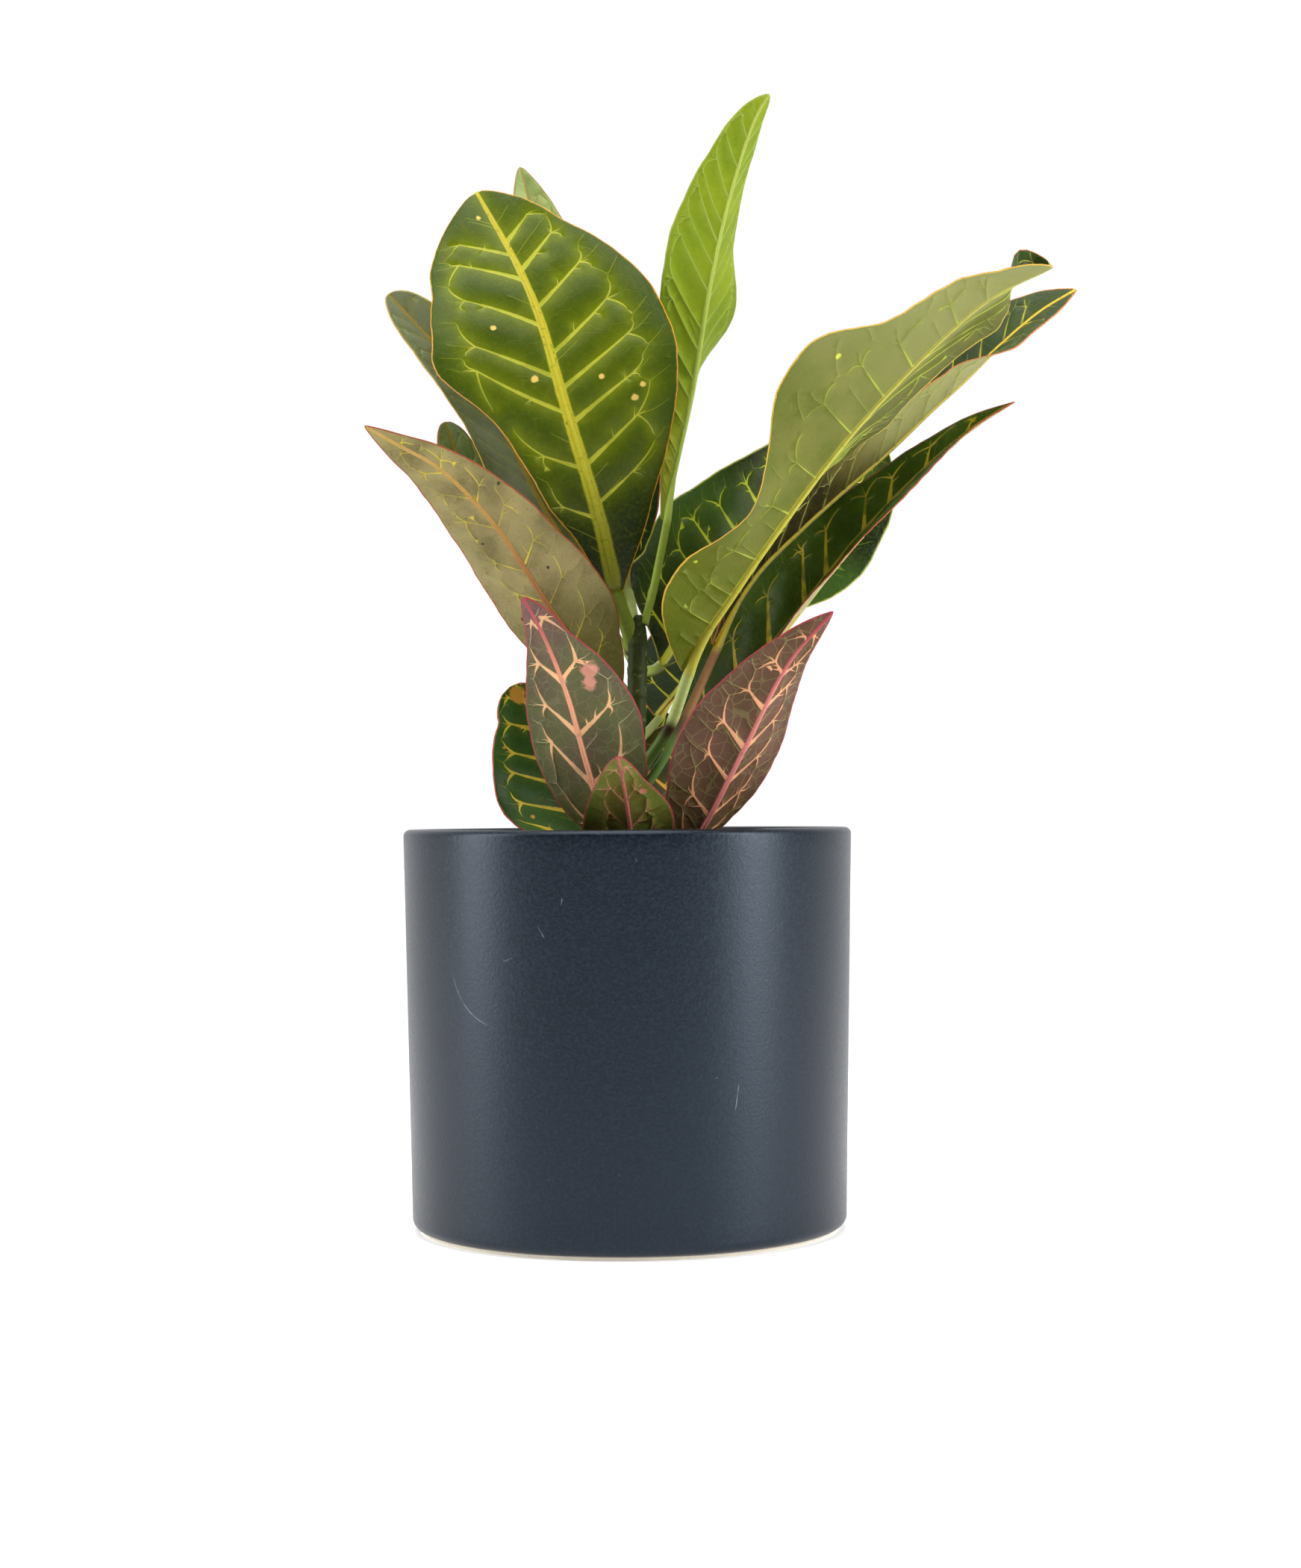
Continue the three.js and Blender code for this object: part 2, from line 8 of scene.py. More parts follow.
# %% Load the fixed frame
import math
from collections import namedtuple
import bpy
import numpy as np
from mathutils import Matrix, Vector
from mathutils.geometry import delaunay_2d_cdt


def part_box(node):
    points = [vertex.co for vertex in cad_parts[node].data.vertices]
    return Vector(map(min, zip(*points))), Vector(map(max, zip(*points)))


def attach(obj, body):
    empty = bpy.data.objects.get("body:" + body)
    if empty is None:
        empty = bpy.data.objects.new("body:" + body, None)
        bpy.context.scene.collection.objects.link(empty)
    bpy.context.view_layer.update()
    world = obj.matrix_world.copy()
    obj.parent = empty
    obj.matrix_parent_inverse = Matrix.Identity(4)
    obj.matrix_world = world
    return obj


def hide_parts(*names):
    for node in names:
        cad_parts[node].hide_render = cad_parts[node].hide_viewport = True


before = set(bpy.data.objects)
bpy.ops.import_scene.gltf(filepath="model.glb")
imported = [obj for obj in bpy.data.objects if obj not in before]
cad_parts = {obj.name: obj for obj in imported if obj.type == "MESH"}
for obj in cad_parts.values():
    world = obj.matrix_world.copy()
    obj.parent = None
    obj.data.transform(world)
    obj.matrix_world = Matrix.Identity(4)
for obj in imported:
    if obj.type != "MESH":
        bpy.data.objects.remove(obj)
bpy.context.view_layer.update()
mm = 0.001

# %% [markdown]
# ## The viewpoint
# The picture is taken from just above the rim, almost a metre away, with a long lens.
# The pot's ellipses give the height of the eye and the distance. A camera could be
# aimed with a constraint, but a matrix made from its own right, up and view
# directions keeps the small turn and tilt of the real picture exactly.

# %% Camera
picture_width, picture_height = 1743, 2100
focal_pixels = 3600
pot_axis_pixel = 840
horizon_pixel = 1086
picture_turn = math.radians(0.4)
eye = Vector((0, -0.940, 0.145))
sensor_height = 36
nearest_seen = 0.05

yaw = math.atan((picture_width / 2 - pot_axis_pixel) / focal_pixels)
pitch = math.atan((horizon_pixel - picture_height / 2) / focal_pixels)
ahead = Vector((math.sin(yaw) * math.cos(pitch), math.cos(yaw) * math.cos(pitch), math.sin(pitch)))
level = ahead.cross(Vector((0, 0, 1))).normalized()
upright = level.cross(ahead)
right = math.cos(picture_turn) * level - math.sin(picture_turn) * upright
top = math.sin(picture_turn) * level + math.cos(picture_turn) * upright

camera_data = bpy.data.cameras.new("camera")
camera_data.sensor_fit = "VERTICAL"
camera_data.sensor_height = sensor_height
camera_data.lens = sensor_height * focal_pixels / picture_height
camera_data.clip_start = nearest_seen
camera = bpy.data.objects.new("camera", camera_data)
bpy.context.scene.collection.objects.link(camera)
camera.matrix_world = Matrix.Translation(eye) @ Matrix((right, top, -ahead)).transposed().to_4x4()
bpy.context.scene.camera = camera
print("lens", round(camera_data.lens, 2), "mm")

# %% [markdown]
# ## Helpers for trees and materials
# Geometry Nodes trees and materials are both node trees, so one function adds nodes to
# either, and short functions name the nodes that come back most often. A finished piece
# is always a plain mesh: the tree is run on a base mesh, the result is copied to a new
# mesh, and the base with its modifier is thrown away.

# %% Nodes and arithmetic
def feed(tree, node, inputs):
    """Gives a node its inputs: what another node makes is linked, a plain value is set"""
    for key, value in inputs.items():
        if isinstance(value, bpy.types.NodeSocket):
            tree.links.new(value, node.inputs[key])
        else:
            node.inputs[key].default_value = value


def put(tree, kind, inputs=None, **settings):
    """Adds a node to a tree, with its settings and its inputs"""
    node = tree.nodes.new(kind)
    for name, value in settings.items():
        setattr(node, name, value)
    feed(tree, node, inputs or {})
    return node


def out_of(tree, kind, inputs=None, **settings):
    """Adds a node and returns its first output"""
    return put(tree, kind, inputs, **settings).outputs[0]


def math_of(tree, operation, first, second=0.0):
    return out_of(tree, "ShaderNodeMath", {0: first, 1: second}, operation=operation)


def plus(tree, first, second):
    return math_of(tree, "ADD", first, second)


def minus(tree, first, second):
    return math_of(tree, "SUBTRACT", first, second)


def times(tree, first, second):
    return math_of(tree, "MULTIPLY", first, second)


def vector_of(tree, operation, first, second=None):
    """One step of vector arithmetic: a vector, or one number for a length or a product"""
    inputs = {0: first}
    if second is not None:
        inputs["Scale" if operation == "SCALE" else 1] = second
    made = put(tree, "ShaderNodeVectorMath", inputs, operation=operation)
    return made.outputs["Value" if operation in ("LENGTH", "DISTANCE", "DOT_PRODUCT") else "Vector"]


def apart(tree, vector):
    """The three numbers of a vector"""
    return put(tree, "ShaderNodeSeparateXYZ", {0: vector}).outputs


def ramp(tree, value, low, high, first=0.0, last=1.0, kind="SMOOTHSTEP"):
    """A value mapped from one range to another and held at its ends"""
    inputs = {"Value": value, 1: low, 2: high, 3: first, 4: last}
    return out_of(tree, "ShaderNodeMapRange", inputs, interpolation_type=kind)


def noise(tree, place, scale, detail=2.0, roughness=0.5):
    """Soft noise from 0 to 1 on a place"""
    inputs = {"Vector": place, "Scale": scale, "Detail": detail, "Roughness": roughness}
    return put(tree, "ShaderNodeTexNoise", inputs).outputs["Fac"]


# %% Colours and materials
def linear(code):
    """A colour of six hexadecimal digits, as the linear values that shaders take"""
    values = [int(code[i:i + 2], 16) / 255 for i in (0, 2, 4)]
    return tuple(v / 12.92 if v <= 0.04045 else ((v + 0.055) / 1.055) ** 2.4 for v in values) + (1.0,)


def blend(tree, share, first, second):
    """A colour between two others, each made by a node or written as six digits"""
    first, second = (linear(c) if isinstance(c, str) else c for c in (first, second))
    return put(tree, "ShaderNodeMix", {0: share, 6: first, 7: second}, data_type="RGBA").outputs[2]


def own_place(tree):
    """Where on its own object a shaded point lies"""
    return put(tree, "ShaderNodeTexCoord").outputs["Object"]


def new_finish(name):
    """A material, its tree and its main shader"""
    material = bpy.data.materials.new(name)
    material.use_nodes = True
    return material, material.node_tree, material.node_tree.nodes["Principled BSDF"]


def bump(tree, shader, height, strength, distance):
    """Fine relief on a shader"""
    inputs = {"Height": height, "Strength": strength, "Distance": distance}
    tree.links.new(out_of(tree, "ShaderNodeBump", inputs), shader.inputs["Normal"])


# %% Trees and the meshes that they make
def new_tree(name, inputs):
    """An empty Geometry Nodes tree with named inputs, its group input and its output"""
    tree = bpy.data.node_groups.new(name, "GeometryNodeTree")
    sockets = tree.interface
    sockets.new_socket("Geometry", in_out="INPUT", socket_type="NodeSocketGeometry")
    for label, kind in inputs:
        sockets.new_socket(label, in_out="INPUT", socket_type="NodeSocket" + kind)
    sockets.new_socket("Geometry", in_out="OUTPUT", socket_type="NodeSocketGeometry")
    return tree, put(tree, "NodeGroupInput").outputs, put(tree, "NodeGroupOutput").inputs["Geometry"]


def close_tree(tree, body, finish, result):
    """The end of a tree: smooth faces, real geometry and the finish on it"""
    smooth = out_of(tree, "GeometryNodeSetShadeSmooth", {"Geometry": body})
    real = out_of(tree, "GeometryNodeRealizeInstances", {"Geometry": smooth})
    tree.links.new(out_of(tree, "GeometryNodeSetMaterial", {"Geometry": real, "Material": finish}), result)


def join(tree, parts):
    """Several geometries as one"""
    joined = put(tree, "GeometryNodeJoinGeometry")
    for part in parts:
        tree.links.new(part, joined.inputs[0])
    return joined.outputs[0]


def grow(name, base, tree, values):
    """Runs a tree on a base mesh and returns the result as a plain object at the origin"""
    source = bpy.data.objects.new(name + "_base", base)
    bpy.context.scene.collection.objects.link(source)
    modifier = source.modifiers.new("tree", "NODES")
    modifier.node_group = tree
    identifiers = {item.name: item.identifier for item in tree.interface.items_tree if item.in_out == "INPUT"}
    for label, value in values.items():
        modifier[identifiers[label]] = value
    evaluated = source.evaluated_get(bpy.context.evaluated_depsgraph_get())
    mesh = bpy.data.meshes.new_from_object(evaluated)
    mesh.name = name
    source.modifiers.clear()
    bpy.data.objects.remove(source)
    piece = bpy.data.objects.new(name, mesh)
    bpy.context.scene.collection.objects.link(piece)
    return piece


def wire(name, points):
    """A mesh of points joined one after the other, as the base of a path or a profile"""
    mesh = bpy.data.meshes.new(name)
    edges = [(i, i + 1) for i in range(len(points) - 1)]
    mesh.from_pydata([tuple(p) for p in points], edges, [])
    return mesh


def cubic_cm(mesh):
    """The volume inside a closed mesh, positive when its faces point outwards"""
    mesh.calc_loop_triangles()
    corners = np.array([[mesh.vertices[v].co for v in t.vertices] for t in mesh.loop_triangles])
    volume = np.einsum("ij,ij->i", corners[:, 0], np.cross(corners[:, 1], corners[:, 2])).sum() / 6
    return round(float(volume) * 1e6, 2)


def stand_for(piece, node):
    """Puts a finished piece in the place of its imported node"""
    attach(piece, "root")
    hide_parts(node)


# %% [markdown]
# ## The studio
# The plant stands on a plain pale floor under soft light. Two tall soft boxes stand at
# the left and the right, because the pot's matt glaze shows two broad upright
# highlights with a dark middle. The world is white behind the plant and darker on the
# camera's side, as in a room with one bright wall, so the middle of the pot stays dark
# and the young leaves are lit from behind.

# %% World
camera_side = -0.4
camera_side_light = 0.08
far_side = 0.92
far_side_light = 1.02

world = bpy.data.worlds.new("studio")
bpy.context.scene.world = world
world.use_nodes = True
world_tree = world.node_tree
looking = apart(world_tree, put(world_tree, "ShaderNodeTexCoord").outputs["Generated"])[1]
brightness = ramp(world_tree, looking, camera_side, far_side, camera_side_light, far_side_light)
feed(world_tree, world_tree.nodes["Background"], {"Color": linear("fdfdff"), "Strength": brightness})
bpy.context.scene.view_settings.view_transform = "Standard"

# %% Floor
floor_size = 6.0
near, near_shine = 0.6, 0.3
far, far_shine = 3.0, 0.75

floor_mesh = bpy.data.meshes.new("floor")
corners = [(x * floor_size, y * floor_size, 0) for x, y in ((-1, -1), (1, -1), (1, 1), (-1, 1))]
floor_mesh.from_pydata(corners, [], [(0, 1, 2, 3)])
floor = bpy.data.objects.new("floor", floor_mesh)
bpy.context.scene.collection.objects.link(floor)
floor_paint, floor_tree, floor_shader = new_finish("floor_paint")
clouds = put(floor_tree, "ShaderNodeTexNoise", {"Scale": 3.0}).outputs["Fac"]
away = vector_of(floor_tree, "LENGTH", own_place(floor_tree))
feed(floor_tree, floor_shader, {
    "Base Color": blend(floor_tree, clouds, "efefee", "f4f4f4"), "Roughness": 0.7,
    "Emission Color": linear("ffffff"),
    "Emission Strength": ramp(floor_tree, away, near, far, near_shine, far_shine, kind="LINEAR")})
floor_mesh.materials.append(floor_paint)


# %% Lights
def soft_box(name, place, aim, width, height, power):
    """A rectangular area light that looks at a point"""
    data = bpy.data.lights.new(name, "AREA")
    data.shape = "RECTANGLE"
    data.size = width
    data.size_y = height
    data.energy = power
    lamp = bpy.data.objects.new(name, data)
    lamp.location = place
    lamp.rotation_euler = (Vector(aim) - Vector(place)).to_track_quat("-Z", "Y").to_euler()
    bpy.context.scene.collection.objects.link(lamp)


soft_box("left_box", place=(-1.2, -0.22, 0.5), aim=(0, 0, 0.14), width=0.48, height=1.2, power=12.5)
soft_box("right_box", place=(1.1, -0.51, 0.5), aim=(0, 0, 0.14), width=0.48, height=1.2, power=16.5)
soft_box("top_box", place=(-0.1, -0.28, 1.35), aim=(0, 0, 0.2), width=1.2, height=1.2, power=16)
print("studio ready")

# %% [markdown]
# ## The pot
# The real pot is ceramic, turned or cast, with a matt dark glaze. Its wall is 4.6 mm
# thick and widens a little, the rim is round, and it stands on a narrow foot that the
# glaze leaves bare. Its shape is one profile turned about an axis, so a tree does it:
# it lays a copy of the profile on each column of a grid and turns that column.

# %% Profile of the pot, in millimetres
pot_low, pot_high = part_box("pot")
pot_height = (pot_high.z - pot_low.z) / mm
rim_radius = pot_high.x / mm
draft = 2.5
base_radius = rim_radius - draft
wall = 4.6
floor_thickness = 8.0
edge_round = 3.5
foot_height = 1.2
foot_inset = 3.2
foot_round = 0.5
foot_slope = 0.3
inner_round = 10.0


def arc(centre, radius, start, end, steps):
    """Points of radius and height along an arc, with its angles in degrees"""
    angles = np.radians(np.linspace(start, end, steps + 1))
    return [(centre[0] + radius * math.cos(a), 0, centre[1] + radius * math.sin(a)) for a in angles]


def inner_radius(height):
    """The radius of the pot's inner wall at a height"""
    return base_radius + (rim_radius - base_radius) * height / pot_height - wall


def straight(start, end, steps):
    """Points between two places, without the places themselves"""
    shares = np.linspace(0, 1, steps + 1)[1:-1]
    return [tuple(np.array(start) * (1 - s) + np.array(end) * s) for s in shares]


foot_radius = base_radius - foot_inset
bottom_radius = inner_radius(floor_thickness) - inner_round
lower_edge = arc((base_radius - edge_round, foot_height + edge_round), edge_round, -75, 0, 8)
rim_edge = arc((rim_radius - wall / 2, pot_height - wall / 2), wall / 2, 0, 180, 16)
inner_edge = arc((bottom_radius, floor_thickness + inner_round), inner_round, 0, -90, 8)
foot_arris = arc((foot_radius - foot_round, foot_round), foot_round, -90, 0, 3)
pot_profile = [(0, 0, 0), (foot_radius * 0.5, 0, 0), *foot_arris, (foot_radius + foot_slope, 0, foot_height),
               *lower_edge, *straight(lower_edge[-1], rim_edge[0], 24), *rim_edge,
               *straight(rim_edge[-1], inner_edge[0], 8), *inner_edge,
               (bottom_radius * 0.5, 0, floor_thickness), (0, 0, floor_thickness)]
print("pot", round(pot_height, 1), "mm high with", len(pot_profile), "points on its profile")

# %% Tree that turns a profile
def turning_tree():
    """Copies a profile onto each column of a grid and turns the column about the axis"""
    tree, given, result = new_tree("turned_body", [
        ("Sides", "Int"), ("Merge", "Float"), ("Finish", "Material")])
    profile = given["Geometry"]
    count = put(tree, "GeometryNodeAttributeDomainSize", {0: profile}).outputs["Point Count"]
    columns = plus(tree, given["Sides"], 1.0)
    grid = out_of(tree, "GeometryNodeMeshGrid", {"Vertices X": columns, "Vertices Y": count})
    index = out_of(tree, "GeometryNodeInputIndex")
    column = math_of(tree, "FLOOR", math_of(tree, "DIVIDE", plus(tree, index, 0.5), count))
    row = math_of(tree, "MODULO", index, count)
    position = out_of(tree, "GeometryNodeInputPosition")
    sample = out_of(tree, "GeometryNodeSampleIndex", {"Geometry": profile, "Value": position, "Index": row},
                    data_type="FLOAT_VECTOR")
    angle = times(tree, math_of(tree, "DIVIDE", column, given["Sides"]), 2 * math.pi)
    turned = out_of(tree, "ShaderNodeVectorRotate", {"Vector": sample, "Axis": (0, 0, 1), "Angle": angle},
                    rotation_type="AXIS_ANGLE")
    body = out_of(tree, "GeometryNodeSetPosition", {"Geometry": grid, "Position": turned})
    merged = out_of(tree, "GeometryNodeMergeByDistance", {"Geometry": body, "Distance": given["Merge"]})
    close_tree(tree, merged, given["Finish"], result)
    return tree


turned_body = turning_tree()
merge_distance = 1e-6

# %% [markdown]
# ## The pot's glaze
# Close up, the matt glaze is a blue-grey black with a very fine grain, a few pale
# specks, some thin scuffs and faint drifts of tone where it ran. The bare foot is pale
# fired clay. All of it follows the pot's own place in the room, so one material does
# the whole pot, and the foot is told from the wall by its height.

# %% Scuffs on the wall
# Each scuff: its place around the wall from the front, its height, half its length, its
# lean in degrees and its bend, the lengths in millimetres
scuffs = [(-58, 81, 14, -44, 0.022), (-28, 106, 2.5, -60, 0), (-21, 116, 1.6, 80, 0), (36, 52, 5, 82, 0.004),
          (-40, 97, 2.2, 20, 0), (118, 60, 9, 75, 0.01), (190, 84, 11, -62, 0.012)]
scuff_edge = 0.28
scuff_core = 0.08
scuff_strength = 0.45


def scratches(tree, place):
    """Thin pale scuffs on the wall, each at a place around it and a height, leaning and bent"""
    room_x, room_y, room_z = apart(tree, place)
    facing = math_of(tree, "ARCTAN2", room_x, times(tree, room_y, -1.0))
    around = times(tree, facing, base_radius * mm)
    share = 0.0
    for sideways, height, half, lean, bend in scuffs:
        turn = math.radians(lean)
        x = minus(tree, around, sideways * mm)
        z = minus(tree, room_z, height * mm)
        lengthwise = plus(tree, times(tree, x, math.cos(turn)), times(tree, z, math.sin(turn)))
        over = minus(tree, times(tree, z, math.cos(turn)), times(tree, x, math.sin(turn)))
        sag = times(tree, times(tree, lengthwise, lengthwise), bend / mm)
        line = ramp(tree, math_of(tree, "ABSOLUTE", minus(tree, over, sag)), scuff_edge * mm, scuff_core * mm)
        here = ramp(tree, math_of(tree, "ABSOLUTE", lengthwise), half * mm, half * 0.5 * mm)
        share = math_of(tree, "MAXIMUM", share, times(tree, line, here))
    broken = ramp(tree, noise(tree, place, 260.0), 0.4, 0.6, 0.3, 1.0)
    return times(tree, times(tree, share, broken), scuff_strength)


# %% Material of the pot, and the piece
glaze_line_top = 1.9
glaze_line_low = 1.3
glaze_line_wander = 0.8


def pot_glaze():
    """Matt glaze over fired clay, which it leaves bare at the foot"""
    material, tree, shader = new_finish("pot_glaze")
    place = own_place(tree)
    height = apart(tree, place)[2]
    drift = noise(tree, place, 9.0, 3.0)
    grain = noise(tree, place, 900.0, 3.0, 0.6)
    tone = blend(tree, ramp(tree, drift, 0.3, 0.7), "080e16", "0d151e")
    grained = blend(tree, ramp(tree, grain, 0.42, 0.66), tone, "151d27")
    specks = put(tree, "ShaderNodeTexVoronoi", {"Vector": place, "Scale": 170.0}).outputs["Distance"]
    speck_share = times(tree, ramp(tree, specks, 0.07, 0.03), ramp(tree, grain, 0.56, 0.66))
    specked = blend(tree, speck_share, grained, "4d545c")
    scratched = blend(tree, scratches(tree, place), specked, "8a9098")
    clay = blend(tree, grain, "d8cdb8", "efe8da")
    line = plus(tree, height, times(tree, drift, glaze_line_wander * mm))
    bare = ramp(tree, line, glaze_line_top * mm, glaze_line_low * mm)
    feed(tree, shader, {
        "Base Color": blend(tree, bare, scratched, clay),
        "Roughness": plus(tree, ramp(tree, grain, 0.3, 0.7, 0.3, 0.38), times(tree, bare, 0.35)),
        "Specular IOR Level": 0.42, "Specular Tint": linear("d2e2f6")})
    bump(tree, shader, plus(tree, grain, times(tree, drift, 3.0)), 0.35, 0.00025)
    return material


pot_base = wire("pot_profile", [Vector(p) * mm for p in pot_profile])
pot = grow("pot_visual", pot_base, turned_body, {
    "Sides": 160, "Merge": merge_distance, "Finish": pot_glaze()})
stand_for(pot, "pot")
print("pot", len(pot.data.polygons), "faces,", cubic_cm(pot.data), "cubic centimetres")

# %% [markdown]
# ## The soil
# The potting mix is loose: dark crumbs of peat and bark, with white grains of perlite.
# A bump map would look flat from above, so the surface gets real crumbs. A solid body
# fills the pot, and a tree strews small rough stones on its top, with their size and
# turn drawn from a fixed seed.

# %% Body of the soil, in millimetres
soil_low, soil_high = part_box("soil")
soil_bottom, soil_top = soil_low.z / mm, soil_high.z / mm
soil_crown = 3.0
soil_gap = 0.3
lump_room = 0.3
low_corner, low_corner_gap = 20, 0.4
edge_drop, edge_step = 1.2, 1.0
hole_radius = 4.45
hole_dip, hole_depth = 0.6, 6
soil_edge = soil_top - soil_crown
soil_reach = inner_radius(soil_edge) - soil_gap - lump_room
top_edge = (soil_reach - edge_step, 0, soil_edge)
hole_edge = (hole_radius, 0, soil_top - hole_dip)
soil_profile = [(0, 0, soil_bottom), (bottom_radius, 0, soil_bottom),
                (inner_radius(low_corner) - soil_gap - low_corner_gap, 0, low_corner),
                (soil_reach, 0, soil_edge - edge_drop), top_edge, *straight(top_edge, hole_edge, 40),
                hole_edge, (hole_radius, 0, soil_top - hole_depth), (0, 0, soil_top - hole_depth)]
print("soil from", round(soil_bottom, 1), "to", round(soil_top, 1), "mm")

# %% Tree that strews crumbs on the soil
# Each kind of bit: the input that gives its number for each square metre, its finish,
# radius in millimetres, subdivisions, unevenness, a shift of the seed, and how many times
# that number there are
Bits = namedtuple("Bits", "count finish radius subdivisions unevenness shift more")
kinds_of_bits = [Bits("Crumbs", "Soil", 1.5, 2, 1.5, 0, 1.0), Bits("Crumbs", "Soil", 0.8, 1, 1.4, 11, 2.2),
                 Bits("Perlite", "White", 1.1, 2, 0.9, 23, 1.0)]
bare_round_stem, bare_at_wall = 1.5, 1.8
level_round_stem, lumpy_from = 0.2, 3
lump_height = 0.006
lump_middle = 0.62
least_bit, largest_bit = (0.45, 0.45, 0.35), (1.25, 1.1, 0.8)
whole_turn = (6.28, 6.28, 6.28)


def rough_stone(tree, radius, subdivisions, unevenness):
    """A small lump whose surface is pushed about by noise"""
    ball = out_of(tree, "GeometryNodeMeshIcoSphere", {"Radius": radius, "Subdivisions": subdivisions})
    place = out_of(tree, "GeometryNodeInputPosition")
    push = put(tree, "ShaderNodeTexNoise", {"Vector": place, "Scale": 0.9 / radius, "Detail": 2.0})
    centred = vector_of(tree, "SUBTRACT", push.outputs["Color"], (0.5, 0.5, 0.5))
    offset = vector_of(tree, "SCALE", centred, unevenness * radius)
    return out_of(tree, "GeometryNodeSetPosition", {"Geometry": ball, "Offset": offset})


def strewn_bits(tree, given, ground, within, bits):
    """One kind of bit strewn on the ground, where it is within the top"""
    seed = plus(tree, given["Seed"], float(bits.shift))
    density = times(tree, given[bits.count], bits.more)
    points = out_of(tree, "GeometryNodeDistributePointsOnFaces", {
        "Mesh": ground, "Selection": within, "Density": density, "Seed": seed})
    turn, size = (out_of(tree, "FunctionNodeRandomValue", {0: least, 1: most, "Seed": seed},
                         data_type="FLOAT_VECTOR")
                  for least, most in (((0, 0, 0), whole_turn), (least_bit, largest_bit)))
    bit = rough_stone(tree, bits.radius * mm, bits.subdivisions, bits.unevenness)
    strewn = out_of(tree, "GeometryNodeInstanceOnPoints", {
        "Points": points, "Instance": bit, "Rotation": turn, "Scale": size})
    real = out_of(tree, "GeometryNodeRealizeInstances", {"Geometry": strewn})
    return out_of(tree, "GeometryNodeSetMaterial", {"Geometry": real, "Material": given[bits.finish]})


def strewing_tree():
    """Roughens the top of a soil body and strews crumbs and perlite on it"""
    tree, given, result = new_tree("strewn_soil", [
        ("Crumbs", "Float"), ("Perlite", "Float"), ("Seed", "Int"),
        ("Soil", "Material"), ("White", "Material")])
    place = out_of(tree, "GeometryNodeInputPosition")
    facing = apart(tree, out_of(tree, "GeometryNodeInputNormal"))[2]
    x, y, _ = apart(tree, place)
    out = vector_of(tree, "LENGTH", out_of(tree, "ShaderNodeCombineXYZ", {0: x, 1: y}))
    clear = ramp(tree, out, (hole_radius + level_round_stem) * mm, (hole_radius + lumpy_from) * mm)
    lumps = noise(tree, place, 75.0, 3.0)
    up = times(tree, times(tree, minus(tree, lumps, lump_middle), lump_height), clear)
    upward = out_of(tree, "ShaderNodeCombineXYZ", {2: up})
    on_top = math_of(tree, "GREATER_THAN", facing, 0.6)
    uneven = out_of(tree, "GeometryNodeSetPosition", {
        "Geometry": given["Geometry"], "Selection": on_top, "Offset": upward})
    body = out_of(tree, "GeometryNodeSetMaterial", {"Geometry": uneven, "Material": given["Soil"]})
    on_body = times(tree, on_top, math_of(tree, "GREATER_THAN", out, (hole_radius + bare_round_stem) * mm))
    within = times(tree, on_body, math_of(tree, "LESS_THAN", out, (soil_reach - bare_at_wall) * mm))
    parts = [body, *(strewn_bits(tree, given, uneven, within, bits) for bits in kinds_of_bits)]
    tree.links.new(out_of(tree, "GeometryNodeRealizeInstances", {"Geometry": join(tree, parts)}), result)
    return tree


# %% Materials of the soil, and the piece
def soil_finish():
    """Dark peat with paler fibres"""
    material, tree, shader = new_finish("moist_potting_mix")
    place = own_place(tree)
    patches = noise(tree, place, 130.0, 3.0)
    fibres = noise(tree, place, 900.0, 4.0, 0.7)
    dark = blend(tree, ramp(tree, patches, 0.35, 0.7), "22170f", "46321f")
    feed(tree, shader, {
        "Base Color": blend(tree, ramp(tree, fibres, 0.55, 0.8), dark, "7a5e40"),
        "Roughness": ramp(tree, fibres, 0.3, 0.7, 0.8, 0.98)})
    bump(tree, shader, fibres, 0.7, 0.0006)
    return material


def perlite_finish():
    """Chalky white grains, a little dusty"""
    material, tree, shader = new_finish("perlite")
    dust = noise(tree, own_place(tree), 1200.0, 3.0)
    feed(tree, shader, {"Base Color": blend(tree, dust, "c9c2b4", "f1eee6"), "Roughness": 0.9})
    bump(tree, shader, dust, 0.5, 0.0004)
    return material


soil_body = grow("soil_body", wire("soil_profile", [Vector(p) * mm for p in soil_profile]), turned_body,
                 {"Sides": 120, "Merge": merge_distance, "Finish": None})
soil = grow("soil_visual", soil_body.data, strewing_tree(), {
    "Crumbs": 52000.0, "Perlite": 3800.0, "Seed": 5, "Soil": soil_finish(), "White": perlite_finish()})
bpy.data.objects.remove(soil_body)
stand_for(soil, "soil")
print("soil", len(soil.data.polygons), "faces")

# %% [markdown]
# ## The stem
# The stem is young green wood: it leans a little, is ringed where old leaves sat, and
# ends in a small pointed bud. A path with a radius at each point holds all of that, and
# a tree sweeps a round section along it. The leaf stalks use the same sweep later on.

# %% Paths through points
def smooth_path(points, spans=24):
    """Places along the centripetal curve through some points, and the length up to each"""
    given = np.array(points, float)
    full = np.vstack([2 * given[0] - given[1], given, 2 * given[-1] - given[-2]])
    share = np.linspace(0, 1, spans, endpoint=False)[:, None]
    places = []
    for i in range(len(given) - 1):
        a, b, c, d = full[i:i + 4]
        before, here, after = (np.sum((end - start) ** 2) ** 0.25 for start, end in ((a, b), (b, c), (c, d)))
        leaving = ((b - a) / before - (c - a) / (before + here) + (c - b) / here) * here
        arriving = ((c - b) / here - (d - b) / (here + after) + (d - c) / after) * here
        square = -3 * b + 3 * c - 2 * leaving - arriving
        cube = 2 * b - 2 * c + leaving + arriving
        places.append(b + leaving * share + square * share ** 2 + cube * share ** 3)
    places = np.vstack([*places, given[-1]])
    steps = np.linalg.norm(np.diff(places, axis=0), axis=1)
    return places, np.concatenate([[0], np.cumsum(steps)])


